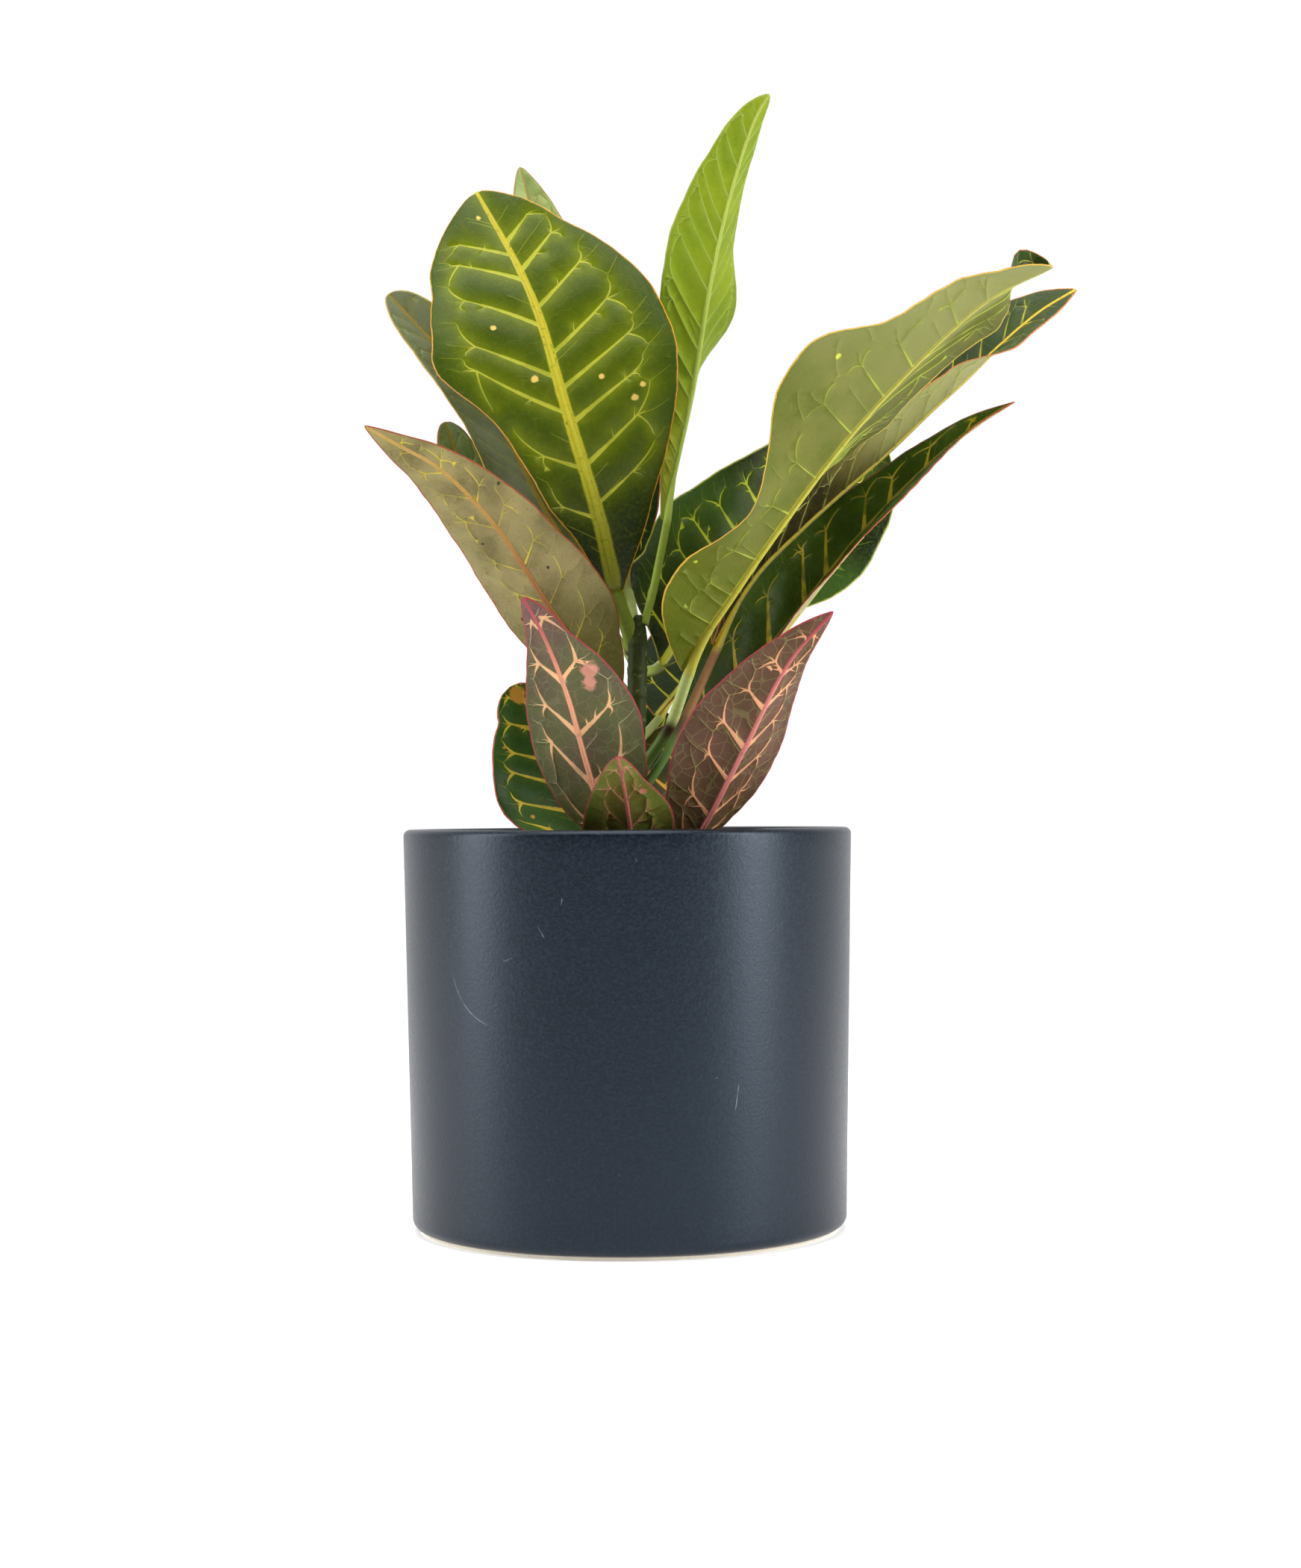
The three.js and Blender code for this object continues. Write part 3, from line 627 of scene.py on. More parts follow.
def along(places, run, length):
    """The place at some length along a path"""
    return np.stack([np.interp(length, run, places[:, k]) for k in range(3)], axis=-1)


def store(mesh, name, values, kind="FLOAT"):
    """Keeps one number or one vector for each point of a mesh"""
    attribute = mesh.attributes.new(name, kind, "POINT")
    key = "vector" if kind == "FLOAT_VECTOR" else "value"
    attribute.data.foreach_set(key, np.asarray(values, np.float32).ravel())


# %% Tree that sweeps a round section along a path
bark_roughness = 0.5 * mm


def sweep(tree, path, sides):
    """Turns a wire into a round body, with the radius that is kept on the wire's points"""
    radius = out_of(tree, "GeometryNodeInputNamedAttribute", {"Name": "radius"}, data_type="FLOAT")
    curve = out_of(tree, "GeometryNodeMeshToCurve", path)
    section = out_of(tree, "GeometryNodeCurvePrimitiveCircle", {"Resolution": sides, "Radius": 1.0})
    return out_of(tree, "GeometryNodeCurveToMesh", {
        "Curve": curve, "Profile Curve": section, "Scale": radius, "Fill Caps": True})


def stem_tree():
    """Sweeps the stem and roughens its bark"""
    tree, given, result = new_tree("swept_stem", [("Sides", "Int"), ("Finish", "Material")])
    body = sweep(tree, {"Mesh": given["Geometry"]}, given["Sides"])
    normal = out_of(tree, "GeometryNodeInputNormal")
    rough = minus(tree, noise(tree, out_of(tree, "GeometryNodeInputPosition"), 500.0, 3.0), 0.5)
    push = vector_of(tree, "SCALE", normal, times(tree, rough, bark_roughness))
    barked = out_of(tree, "GeometryNodeSetPosition", {"Geometry": body, "Offset": push})
    close_tree(tree, barked, given["Finish"], result)
    return tree


# %% The stem's path, radius and bark, in millimetres
stem_points = [(0, 0, 68.5), (0, 0, 112), (1.4, 0, 140), (3, 0, 168), (4, 0, 198), (4.4, 0, 213.5)]
stem_radius = 3.7
stem_top_radius = 3.3
ring_spacing = 9.0
ring_swell = 0.32
ring_sharpness = 24
bud_start, bud_length, bud_tip, bud_shape = 0.93, 0.075, 0.002, 1.6
stem_places, stem_run = smooth_path(stem_points)
stem_length = stem_run[-1]
stem_steps = np.linspace(0, stem_length, 260)
stem_share = stem_steps / stem_length
rings = ring_swell * np.cos(math.pi * stem_steps / ring_spacing) ** ring_sharpness
bud = np.sqrt(np.clip(1 - ((stem_share - bud_start) / bud_length).clip(0) ** bud_shape, bud_tip, 1))
stem_radii = (stem_radius + (stem_top_radius - stem_radius) * stem_share + rings) * bud


def stem_bark():
    """Green bark above, browner below, with corky spots and fine upright streaks"""
    material, tree, shader = new_finish("stem_bark")
    place = own_place(tree)
    height = apart(tree, place)[2]
    drawn = out_of(tree, "ShaderNodeMapping", {"Vector": place, "Scale": (1, 1, 0.22)})
    streaks = noise(tree, drawn, 700.0, 3.0, 0.6)
    green = blend(tree, streaks, "161f03", "38440f")
    brown = blend(tree, streaks, "262408", "545224")
    aged = blend(tree, ramp(tree, height, 0.17, 0.12), green, brown)
    cork = ramp(tree, noise(tree, place, 330.0), 0.6, 0.72)
    feed(tree, shader, {
        "Base Color": blend(tree, times(tree, cork, 0.6), aged, "7c6e4c"),
        "Roughness": 0.55, "Specular IOR Level": 0.2})
    bump(tree, shader, streaks, 0.5, 0.0004)
    return material


stem_base = wire("stem_path", along(stem_places, stem_run, stem_steps) * mm)
store(stem_base, "radius", stem_radii * mm)
stem = grow("stem_visual", stem_base, stem_tree(), {"Sides": 28, "Finish": stem_bark()})
stand_for(stem, "stem")
print("stem", len(stem.data.polygons), "faces, radius", round(stem.dimensions.y / mm / 2, 2), "mm,",
      cubic_cm(stem.data), "cubic centimetres")

# %% [markdown]
# ## The shape of a leaf
# A croton leaf is a stalk that runs on as the midrib, with a stiff blade on each side.
# Each half is told by its width along the midrib and by the angle at which it folds up,
# so a flat place, so far along and so far out, has one place in the room. The veins
# can then be drawn on the flat leaf and bent into shape with it. Sculpting each leaf by
# hand would also work, but this way twenty-one leaves share one short rule.

# %% The leaves, in millimetres
# Each leaf: the points of its stalk and midrib, the stalk's length, the way that its upper
# face looks, the width and the fold in degrees of its two halves from base to tip, the
# height and number of its waves, how blunt its tip is, and the headings of its veins in
# degrees. One also says how its halves curl, one how they lift, and one where along the
# blade its veins start.
usual_wave = (1, 2)
usual_bluntness = 0.3
usual_headings = (58, 58)
leaf_shapes = {
    "leaf_crown_left": dict(
        look="crown",
        midrib=[(4, 0, 200), (1, -4, 209), (-3, -8, 220), (-9, -10, 246), (-21, -10, 287),
                (-29, -5, 316), (-36, 0, 334), (-52, 12, 365)],
        stalk=24, face=[(0.05, -1, 0.1)], left=[8.8, 16, 20, 26.5, 40, 38.3, 33, 25],
        right=[19, 35, 43, 39, 22], fold=[[8], [8]], curl=[-8, -8], wave=(1.5, 2), blunt=0.35,
        heading=(58, 68), starts=([0.165, 0.28, 0.41, 0.495, 0.62, 0.74, 0.81],
                                  [0.195, 0.285, 0.385, 0.465, 0.55, 0.665, 0.765, 0.845])),
    "leaf_crown_young": dict(
        look="young",
        midrib=[(4, 0, 207), (8, 2, 220), (11, 4, 234), (17, 5, 263), (24, 4, 293), (30, 1, 327),
                (37, -3, 358), (46, -8, 385), (51, -12, 393)],
        stalk=42, face=[(-0.8, 0.6, 0), (-0.5, 0.85, 0), (-0.3, 0.95, 0)], left=[8, 17, 19, 17, 11],
        right=[7, 13, 17, 17, 12], fold=[[80, 78, 52, 28, 48, 52, 50], [30, 35, 35, 30]], wave=(1, 3),
        blunt=0.35, heading=(42, 42)),
    "leaf_right_arching": dict(
        look="arching",
        midrib=[(2.6, 0, 160), (9, -4, 168), (14, -8, 176), (22, -17, 197), (36, -25.5, 218),
                (51, -35, 239), (74, -48, 268.5), (98, -57.5, 293.5), (120, -63.5, 312),
                (140, -66.5, 321.5)],
        stalk=41, face=[*[(-0.65, 0.57, 0.5)] * 7, (0, -0.3, 0.95)],
        left=[16, 25, 30, 31, 22.5, 16.4, 14.8, 15.4],
        right=[20.5, 24.4, 26.5, 25.8, 27.8, 38.5, 42.8, 26, 20, 12],
        fold=[[45, 45, 44, 40, 34, 25, 13, 7, 2, 0, 115], [*[5] * 7, 30]],
        lift=[None, [6, -7, 4, 0, -1]], wave=(0, 2), blunt=0.7, heading=(20, 86)),
    "leaf_right_upper": dict(
        look="right_upper",
        midrib=[(2, 0, 151), (9, 0, 160), (19, 1.5, 178), (36, 5, 213), (47, 7.5, 229.5),
                (61, 9.5, 243.5), (76, 10.5, 257), (93, 9.5, 271.5), (108, 7, 285.5), (120, 4, 296),
                (132, 1, 307.5), (146, -2, 319), (158, -5, 326)],
        stalk=60, face=[(-0.65, -0.17, 0.74)], left=[10, 17, 23, 26, 27, 16.5],
        right=[9, 15, 20, 22, 22, 20, 18, 14.5], fold=[[45], [35, 35, 35, 35, 34, 30, -8, -30]],
        blunt=0.15, heading=(50, 60)),
    "leaf_right_lower": dict(
        look="right_lower",
        midrib=[(1.6, 0, 143), (14, 5, 152), (25, 8, 168), (43, 12, 192), (60, 13, 213.5), (84, 14, 243),
                (107, 11, 266.3), (123, 7, 279.5), (137, 2, 288)],
        stalk=30, face=[(-0.63, -0.37, 0.68)], left=[17, 24, 27, 26, 20, 13.7, 10.7, 6.3],
        right=[14, 24, 27, 22, 12], fold=[[37], [34, 30, 24, 19, 18, 18, 18]], blunt=0,
        heading=(48, 55)),
    "leaf_middle_wide": dict(
        look="wide",
        midrib=[(4, 0, 194), (12, 17, 197), (19, 28, 208), (33.3, 37.5, 230), (55.3, 45, 258),
                (76.5, 51, 283), (92.5, 53, 300)],
        stalk=20, face=[(-0.05, -1, 0.05)], left=[31, 31.5, 35.4, 31, 25, 18.3, 12, 6.5],
        right=[13.5, 29, 41, 40, 30], fold=[[38], [8]], wave=(1.5, 2), blunt=0,
        heading=(86, 66)),
    "leaf_left_front": dict(
        look="grey_under",
        midrib=[(3.3, 0, 178), (-1, -6, 184), (-7, -12, 192), (-15, -16, 200), (-26, -22, 215),
                (-44, -32, 242), (-62, -42, 260), (-75, -48, 267), (-86, -52, 273)],
        stalk=13, face=[(0.3, 0.9, 0.3)], left=[17, 21, 16, 11, 6], right=[15, 19, 19, 15, 9],
        fold=[[12], [12]], blunt=0.2, heading=(56, 52)),
    "leaf_left_upper": dict(
        look="ridged",
        midrib=[(4, 0, 196), (-5, 8, 211), (-15, 13, 230), (-29, 18, 253), (-44, 24, 282),
                (-59, 27, 303), (-73, 28, 319), (-85, 28, 332)],
        stalk=26, face=[(0.3, -0.85, 0.4)], left=[13, 17, 17, 16, 11], right=[13, 17, 18, 16, 11],
        fold=[[20], [20]], wave=(1.5, 2), blunt=0.9, heading=(42, 42)),
    "leaf_left_back": dict(
        look="left_back",
        midrib=[(3.2, 0, 184), (-3, 8, 192), (-15, 13, 203), (-28, 18, 214), (-38, 22, 230),
                (-50, 26, 252), (-59, 28, 270), (-65, 30, 286)],
        stalk=26, face=[(0.3, -0.85, 0.4)], left=[12, 17, 17, 13, 8], right=[11, 15, 16, 13, 8],
        fold=[[15], [15]], blunt=0.9, heading=(42, 42)),
    "leaf_red_left": dict(
        look="rose",
        midrib=[(0.3, 0, 118), (-3, -14, 129), (-7, -24, 139), (-14, -36, 163), (-20, -44, 185),
                (-28, -49, 205), (-34, -52, 216)],
        stalk=22, face=[(0.3, 0.9, 0.2)], left=[14, 20, 22, 17, 8.5], right=[12, 18, 19, 15, 7.5],
        fold=[[10], [10]], blunt=0.4, heading=(60, 40)),
    "leaf_red_middle": dict(
        look="rose_green",
        midrib=[(0.2, 0, 115), (1, -22, 125), (1, -42, 139), (-1, -54, 153), (-3, -60, 163)],
        stalk=22, face=[(0, 0.9, 0.4), (0, 0.9, 0.2)], left=[10, 14, 15, 12, 6.5],
        right=[13, 16.5, 16, 13.5, 9], fold=[[10], [10]], wave=(0.5, 2), blunt=0.4,
        heading=(44, 42)),
    "leaf_red_right": dict(
        look="maroon",
        midrib=[(0.6, 0, 123.5), (11, -14, 125.5), (19, -24, 129.5), (26, -32, 140), (40, -44, 167),
                (54, -54, 194), (68, -60, 210)],
        stalk=28, face=[(-0.37, 0.88, 0.29)], left=[12.5, 18.5, 19, 14.5, 7],
        right=[14.5, 20.5, 21, 16.5, 8], fold=[[28], [20]], blunt=0.2, heading=(42, 64)),
    "leaf_low_left": dict(
        look="low_left",
        midrib=[(0.4, 0, 120), (-5, 7, 128), (-12, 11, 136), (-17, 15, 146), (-27, 21, 166),
                (-34, 25, 180), (-40, 28, 191)],
        stalk=15, face=[(0.3, -0.9, 0.3)], left=[21, 28, 28, 23, 14], right=[15, 19, 20, 17, 10],
        fold=[[10], [10]], blunt=0.8, heading=(66, 60)),
    "leaf_low_right": dict(
        look="low_right",
        midrib=[(0.8, 0, 127), (9, 9, 134), (16, 18, 145), (23, 32, 168), (29, 44, 185)],
        stalk=18, face=[(-0.3, -0.9, 0.3)], left=[12, 19, 21, 17, 9], right=[12, 19, 21, 17, 9],
        fold=[[10], [10]]),
    "leaf_crown_back": dict(
        look="pale",
        midrib=[(4.2, 0, 208), (2, 10, 221), (-4, 28, 248), (-17, 44, 304), (-30, 51, 353), (-38, 50, 383)],
        stalk=40, face=[(0.2, -0.9, 0.3), (0.3, -0.9, 0.1)], left=[10, 17, 20, 19, 12],
        right=[10, 18, 22, 19, 11], fold=[[20], [20]], heading=(45, 45)),
    "leaf_back_tall": dict(
        look="dark",
        midrib=[(3.5, 0, 188.7), (3, 14, 193.5), (0.5, 28, 214), (-2, 40, 239), (-9, 60, 284),
                (-14, 76, 328)],
        stalk=44, face=[(0.1, -0.75, 0.6)], left=[10, 19, 23, 20, 11], right=[9, 17, 21, 19, 11],
        fold=[[20], [20]]),
    "leaf_back_right": dict(
        look="dark",
        midrib=[(3, 0, 171), (9, 19, 177), (29, 50, 203), (50, 71, 237), (65, 83, 267)],
        stalk=26, face=[(-0.5, -0.5, 0.6)], left=[19, 26, 24, 18, 10], right=[11, 18, 21, 18, 10],
        fold=[[20], [20]]),
    "leaf_back_left": dict(
        look="dark",
        midrib=[(2.8, 0, 165), (-8, 18, 178), (-26, 42, 200), (-46, 62, 230), (-62, 74, 254)],
        stalk=26, face=[(0.5, -0.5, 0.6)], left=[11, 18, 21, 18, 10], right=[11, 18, 21, 18, 10],
        fold=[[20], [20]]),
    "leaf_low_back": dict(
        look="dark",
        midrib=[(1, 0, 132), (2, 22, 142), (3, 46, 162), (5, 62, 188)],
        stalk=20, face=[(0, -0.75, 0.6)], left=[10, 16, 18, 15, 8], right=[10, 17, 21, 20, 13],
        fold=[[15], [15]]),
    "leaf_low_back_right": dict(
        look="maroon",
        midrib=[(0.5, 0, 121), (18, 18, 130), (38, 38, 152), (52, 54, 178)],
        stalk=22, face=[(-0.5, -0.5, 0.6)], left=[9, 14, 16, 13, 7], right=[9, 14, 16, 13, 7],
        fold=[[15], [15]]),
    "leaf_low_back_left": dict(
        look="maroon",
        midrib=[(0.3, 0, 116), (-14, 18, 124), (-32, 36, 144), (-44, 50, 166)],
        stalk=20, face=[(0.5, -0.5, 0.6)], left=[9, 14, 16, 13, 7], right=[9, 14, 16, 13, 7],
        fold=[[15], [15]]),
}

# %% Values along a blade
def through_stations(values, share, start, end):
    """A smooth curve of values through even stations, with given values at its ends"""
    knots = np.array([start, *values, end], float)
    spans = len(knots) - 1
    place = np.clip(share, 0, 1) * spans
    low = np.minimum(place.astype(int), spans - 1)
    part = place - low
    padded = np.concatenate([[2 * knots[0] - knots[1]], knots, [2 * knots[-1] - knots[-2]]])
    leaving = (padded[low + 2] - padded[low]) / 2
    arriving = (padded[low + 3] - padded[low + 1]) / 2
    square, cube = part ** 2, part ** 3
    return ((2 * cube - 3 * square + 1) * knots[low] + (cube - 2 * square + part) * leaving
            + (3 * square - 2 * cube) * knots[low + 1] + (cube - square) * arriving)


def spread(values, share):
    """Values at even places along the blade, with a soft step from one to the next"""
    if len(values) == 1:
        return np.full(np.shape(share), float(values[0]))
    place = np.clip(share, 0, 1) * (len(values) - 1)
    low = np.minimum(place.astype(int), len(values) - 2)
    part = place - low
    listed = np.array(values, float)
    return listed[low] + (listed[low + 1] - listed[low]) * part * part * (3 - 2 * part)


def unit(vectors):
    return vectors / np.linalg.norm(vectors, axis=-1, keepdims=True)


def column(values):
    """One number for each place, ready to multiply a vector for each place"""
    return values[:, None]


# %% The surface of one leaf
# Lengths in millimetres. Each ripple of the margin: its height, its pace and its shift
least_rib, rib_for_width = 0.95, 0.025
least_width = 0.25
margin_ripples = [(0.16, 0.31, 2), (0.07, 0.83, 1)]
straight_curl = 1e-5
rib_reach = 1.5
side_shift = 0.31
calm_width = 12


class Leaf:
    """The surface of one leaf: it takes flat places and gives places in the room"""

    def __init__(self, shape):
        self.shape = shape
        self.places, self.run = smooth_path(shape["midrib"])
        self.stalk = shape["stalk"]
        self.length = self.run[-1] - self.stalk
        self.radius = least_rib + rib_for_width * max(shape["left"] + shape["right"])
        self.tangents = unit(np.gradient(self.places, self.run, axis=0))

    def frame(self, s):
        """The midrib's place and its directions up and across, at a length from the blade's base"""
        length = np.clip(s + self.stalk, 0, self.run[-1])
        ahead = unit(along(self.tangents, self.run, length))
        faces = unit(np.array(self.shape["face"], float))
        share = np.clip(s / self.length, 0, 1) * (len(faces) - 1)
        up = np.stack([np.interp(share, np.arange(len(faces)), faces[:, k]) for k in range(3)], axis=-1)
        up = unit(up - np.sum(up * ahead, axis=-1, keepdims=True) * ahead)
        return along(self.places, self.run, length), up, np.cross(ahead, up)

    def half_width(self, s, side):
        """The width from the midrib to the margin, with the margin's own small unevenness"""
        share = np.clip(s / self.length, 0, 1)
        left, right = (self.one_half(self.shape[half], share) for half in ("left", "right"))
        widths = np.where(side < 0, left, right)
        uneven = sum(height * np.sin(s * pace + shift * side) for height, pace, shift in margin_ripples)
        return np.maximum(widths + uneven * np.clip(widths / 10 - 0.2, 0, 1), least_width)

    def one_half(self, listed, share):
        """The width of one half: past its last station a blunt leaf rounds off to its tip"""
        pointed = through_stations(listed, share, self.radius, 0)
        last = len(listed) / (len(listed) + 1)
        past = np.clip((share - last) / (1 - last), 0, 1)
        rounded = listed[-1] * np.sqrt(1 - past ** 2)
        blunt = self.shape.get("blunt", usual_bluntness)
        return np.where(past > 0, pointed + (rounded - pointed) * blunt, pointed)

    def place(self, x, s):
        """Places in the room and their upper normals, x out from the midrib and s along it"""
        share = s / self.length
        side = np.where(x < 0, -1.0, 1.0)
        width = self.half_width(s, side)
        out = np.abs(x) / width
        fold = np.radians(np.where(side < 0, *(spread(half, share) for half in self.shape["fold"])))
        curl = np.radians(np.where(side < 0, *self.shape.get("curl", [0, 0]))) + straight_curl
        turn = fold + curl * out
        outward = (np.sin(turn) - np.sin(fold)) / curl
        upward = (np.cos(fold) - np.cos(turn)) / curl
        point, up, across = self.frame(s)
        rise = self.waves(share, side, width) * out ** 2
        place = point + across * column(side * outward * width) + up * column(upward * width + rise)
        near = np.exp(-(np.abs(x) / rib_reach) ** 2)
        lean = turn * (1 - near)
        return place, unit(up * column(np.cos(lean)) - across * column(side * np.sin(lean)))

    def waves(self, share, side, width):
        """How far the margin rises and falls along the blade"""
        height, count = self.shape.get("wave", usual_wave)
        angle = 2 * math.pi * (count * share + side_shift * (side > 0))
        rise = height * np.sin(angle) * np.minimum(1, width / calm_width)
        for half, values in zip((-1, 1), self.shape.get("lift", [None, None])):
            if values:
                rise = rise + np.where(side == half, through_stations(values, share, 0, 0), 0)
        return rise


blade_lengths = [round(Leaf(shape).length) for shape in leaf_shapes.values()]
print(len(leaf_shapes), "leaves, blades from", min(blade_lengths), "to", max(blade_lengths), "mm long")

# %% [markdown]
# ## The veins
# The veins are the croton's mark. Side veins leave the midrib, fork some way out, and
# the two prongs run on to meet the prongs of the next veins in a row of arches. Finer
# lines go on from there to the margin, and short spurs stand off the thick veins. Each
# is drawn over the flat leaf as a pen would, by its start, its heading and its length.
# Drawing them in the shader would be lighter, but real lines let the mesh follow each
# vein, so it stands out of the lower side and stays sharp at any distance.

# %% Walking a vein over the flat leaf
veined_length = 0.985
walk_reach, bow_reach = 0.93, 0.95
walk_step, bow_step = 1.6, 1.3


def inside(leaf, side, x, s, share):
    """Whether a flat place is on its half of the blade, within a share of the width"""
    return 0 < s < leaf.length * veined_length and 0 <= side * x < share * width_at(leaf, s, side)


def width_at(leaf, s, side):
    """The width of one half at one length from the blade's base"""
    return float(leaf.half_width(np.array(s), side))


def walk(leaf, side, start, heading, turn, length, widths, share=walk_reach):
    """A vein's places and half widths: the heading is in degrees from the midrib's direction"""
    steps = max(3, int(length / walk_step))
    x, s = start
    places = [(x, s)]
    for step in range(steps):
        angle = math.radians(heading - turn * ((step + 0.5) / steps) ** 2)
        x += side * math.sin(angle) * length / steps
        s += math.cos(angle) * length / steps
        if not inside(leaf, side, x, s, share):
            break
        places.append((x, s))
    return np.array(places), np.linspace(*widths, len(places))


def bow(leaf, side, start, end, sag, widths):
    """A curved line between two flat places that bulges outwards"""
    share = column(np.linspace(0, 1, max(4, int(np.hypot(*(end - start)) / bow_step))))
    control = (start + end) / 2 + np.array([side * sag, 0])
    places = (1 - share) ** 2 * start + 2 * share * (1 - share) * control + share ** 2 * end
    keep = [inside(leaf, side, x, s, bow_reach) for x, s in places]
    count = len(keep) if all(keep) else keep.index(False)
    return places[:count], np.linspace(*widths, len(places))[:count]


# %% The veins of one half of a leaf
# Half widths in millimetres, at the start and the end of each kind of fine line, and at
# the end of each kind of strong one
arch_widths, outer_widths = (0.18, 0.14), (0.17, 0.1)
between_widths, margin_widths = (0.2, 0.12), (0.2, 0.1)
spur_end, bow_end, prong_end = 0.12, 0.16, 0.14

# What is drawn at random: lengths in millimetres, turns in degrees, and shares
slant_drop, slant_jitter, side_bend = 8, (-3, 3), 14
thickness_range, reach_range = (0.85, 1.15), (0.9, 1.1)
spur_turn, spur_length = (40, 70), (1.2, 3.2)
top_along, top_beyond, top_limit = (0.45, 0.7), (0.08, 0.16), 0.9
low_share, high_share = (0.55, 1), (0.3, 0.9)
outer_turn, between_start, between_length = (45, 80), (0.03, 0.95), (0.2, 0.5)
prong_turn, prong_length = (60, 100), (1.5, 4)
margin_turn, margin_length = (70, 100), (4, 12)


def half_veins(leaf, side, starts, heading, style, rng):
    """Side veins, the arches between their forks, and the spurs and lines that leave them"""
    strong, fine, forks = [], [], []
    for start in starts:
        s = start * leaf.length
        width = width_at(leaf, s, side)
        slant = heading - slant_drop * start + rng.uniform(*slant_jitter)
        thick = style.thick * rng.uniform(*thickness_range) * min(1.0, 0.45 + width / 30)
        longest = 1.6 * width / math.sin(math.radians(slant))
        vein = walk(leaf, side, (0.0, s), slant, side_bend, longest, (thick * 1.25, thick * 0.35),
                    style.reach * rng.uniform(*reach_range))
        strong.append(vein)
        forks.append((vein[0][-1], vein[1][-1]))
        for _ in range(rng.integers(0, style.spurs + 1)):
            at = rng.integers(len(vein[0]) // 3, len(vein[0]))
            turn = slant + rng.choice([-1, 1]) * rng.uniform(*spur_turn)
            widths = (style.prong * 0.8, spur_end)
            strong.append(walk(leaf, side, vein[0][at], turn, 0, rng.uniform(*spur_length), widths))
    for (low, wide_low), (high, wide_high) in zip(forks[:-1], forks[1:]):
        s = low[1] + (high[1] - low[1]) * rng.uniform(*top_along)
        width = width_at(leaf, s, side)
        out = max(side * low[0], side * high[0]) / width + rng.uniform(*top_beyond)
        top = np.array([side * min(out, top_limit) * width, s])
        sag = 0.06 * width
        shares = rng.uniform(*low_share), rng.uniform(*high_share)
        for fork, wide, share in zip((low, high), (wide_low, wide_high), shares):
            meet = fork + (top - fork) * share
            strong.append(bow(leaf, side, fork, meet, sag, (max(wide, style.prong), bow_end)))
            if rng.random() < style.arches:
                fine.append(bow(leaf, side, meet, top, 0, arch_widths))
        fine.append(walk(leaf, side, top, rng.uniform(*outer_turn), 20, 0.3 * width, outer_widths))
        s = leaf.length * rng.uniform(*between_start)
        length = rng.uniform(*between_length) * width
        fine.append(walk(leaf, side, (0.0, s), heading - 6, 5, length, between_widths))
    for fork, wide in forks:
        for lines, turns, bend, lengths, widths in (
                (strong, prong_turn, 10, prong_length, (wide, prong_end)),
                (fine, margin_turn, 30, margin_length, margin_widths)):
            lines.append(walk(leaf, side, fork, rng.uniform(*turns), bend, rng.uniform(*lengths), widths))
    return strong, fine


def leaf_veins(leaf, style, rng):
    """All the veins of a leaf, as places, half widths and whether they are strong"""
    headings = leaf.shape.get("heading", usual_headings)
    count = max(5, round(leaf.length / style.apart))
    veins = []
    for side, heading, given in zip((-1, 1), headings, leaf.shape.get("starts", (None, None))):
        starts = given or np.linspace(0.09, 0.88, count) + rng.uniform(-0.016, 0.016, count)
        strong, fine = half_veins(leaf, side, starts, heading, style, rng)
        veins += [(*vein, True) for vein in strong] + [(*vein, False) for vein in fine]
    return [vein for vein in veins if len(vein[0]) > 1]


# %% How near the veins a place is
far_away = 1e3


def vein_fields(x, s, veins):
    """For each place: the share of strong and of fine vein on it, and how far the nearest is"""
    masks = np.zeros((2, len(x)))
    away = np.full(len(x), far_away)
    for places, widths, strong in veins:
        for (ax, ay), (bx, by), wide, narrow in zip(places[:-1], places[1:], widths[:-1], widths[1:]):
            dx, dy = bx - ax, by - ay
            part = np.clip(((x - ax) * dx + (s - ay) * dy) / (dx * dx + dy * dy + 1e-9), 0, 1)
            distance = np.hypot(x - ax - part * dx, s - ay - part * dy)
            mask = masks[0 if strong else 1]
            np.maximum(mask, 1 - distance / (wide + (narrow - wide) * part), out=mask)
            if strong:
                away = np.minimum(away, distance)
    return *masks, away


def near_lines(x, s, veins):
    """The distance from each place to the edge of the nearest vein"""
    nearest = np.full(len(x), far_away)
    for places, widths, _ in veins:
        gap = np.hypot(column(x) - places[:, 0], column(s) - places[:, 1]) - widths
        nearest = np.minimum(nearest, gap.min(axis=1))
    return nearest


# %% [markdown]
# ## The skins of a blade
# A grid of squares can't follow slanting veins. A constrained triangulation can: it
# takes the margin, a line just inside it, each vein with its two edges, and loose
# places in between, and joins them all into one flat net. The net is laid twice, as the
# upper and the lower skin half a millimetre apart, and walled up round the margin. The
# blade swells a little between the veins, and each vein is raised underneath.

# %% The midrib's width
thin_rib, rib_taper = 0.6, 0.9
flare_share, flare_start, flare_length = 0.35, 2, 2.5
band_share = 0.8


def rib_radius(leaf, s):
    """The radius of the stalk and the midrib, which thins towards the tip"""
    share = np.clip(s / leaf.length, 0, 1)
    flare = flare_share * np.exp(-np.clip(s + leaf.stalk - flare_start, 0, None) / flare_length)
    return thin_rib + (leaf.radius - thin_rib) * (1 - share) ** rib_taper + leaf.radius * flare


def rib_band(leaf, s):
    """Half the width of the bright band along the midrib"""
    narrower = np.minimum(leaf.half_width(s, -1), leaf.half_width(s, 1))
    return np.minimum(rib_radius(leaf, s) * leaf.band, band_share * narrower)


# %% Flat net of a blade
rim_width, room_for_rim = 1.0, 2.2
outline_step, outline_end, last_station = 1.9, 0.992, 0.995
fill_spacing = 2.7
fill_reach = 60
fill_end = 1.5
row_spacing = fill_spacing * 0.87
jitter = 0.4
rim_gap, rib_gap, vein_gap = 0.8, 3.0, 0.8
merge_gap = 0.02


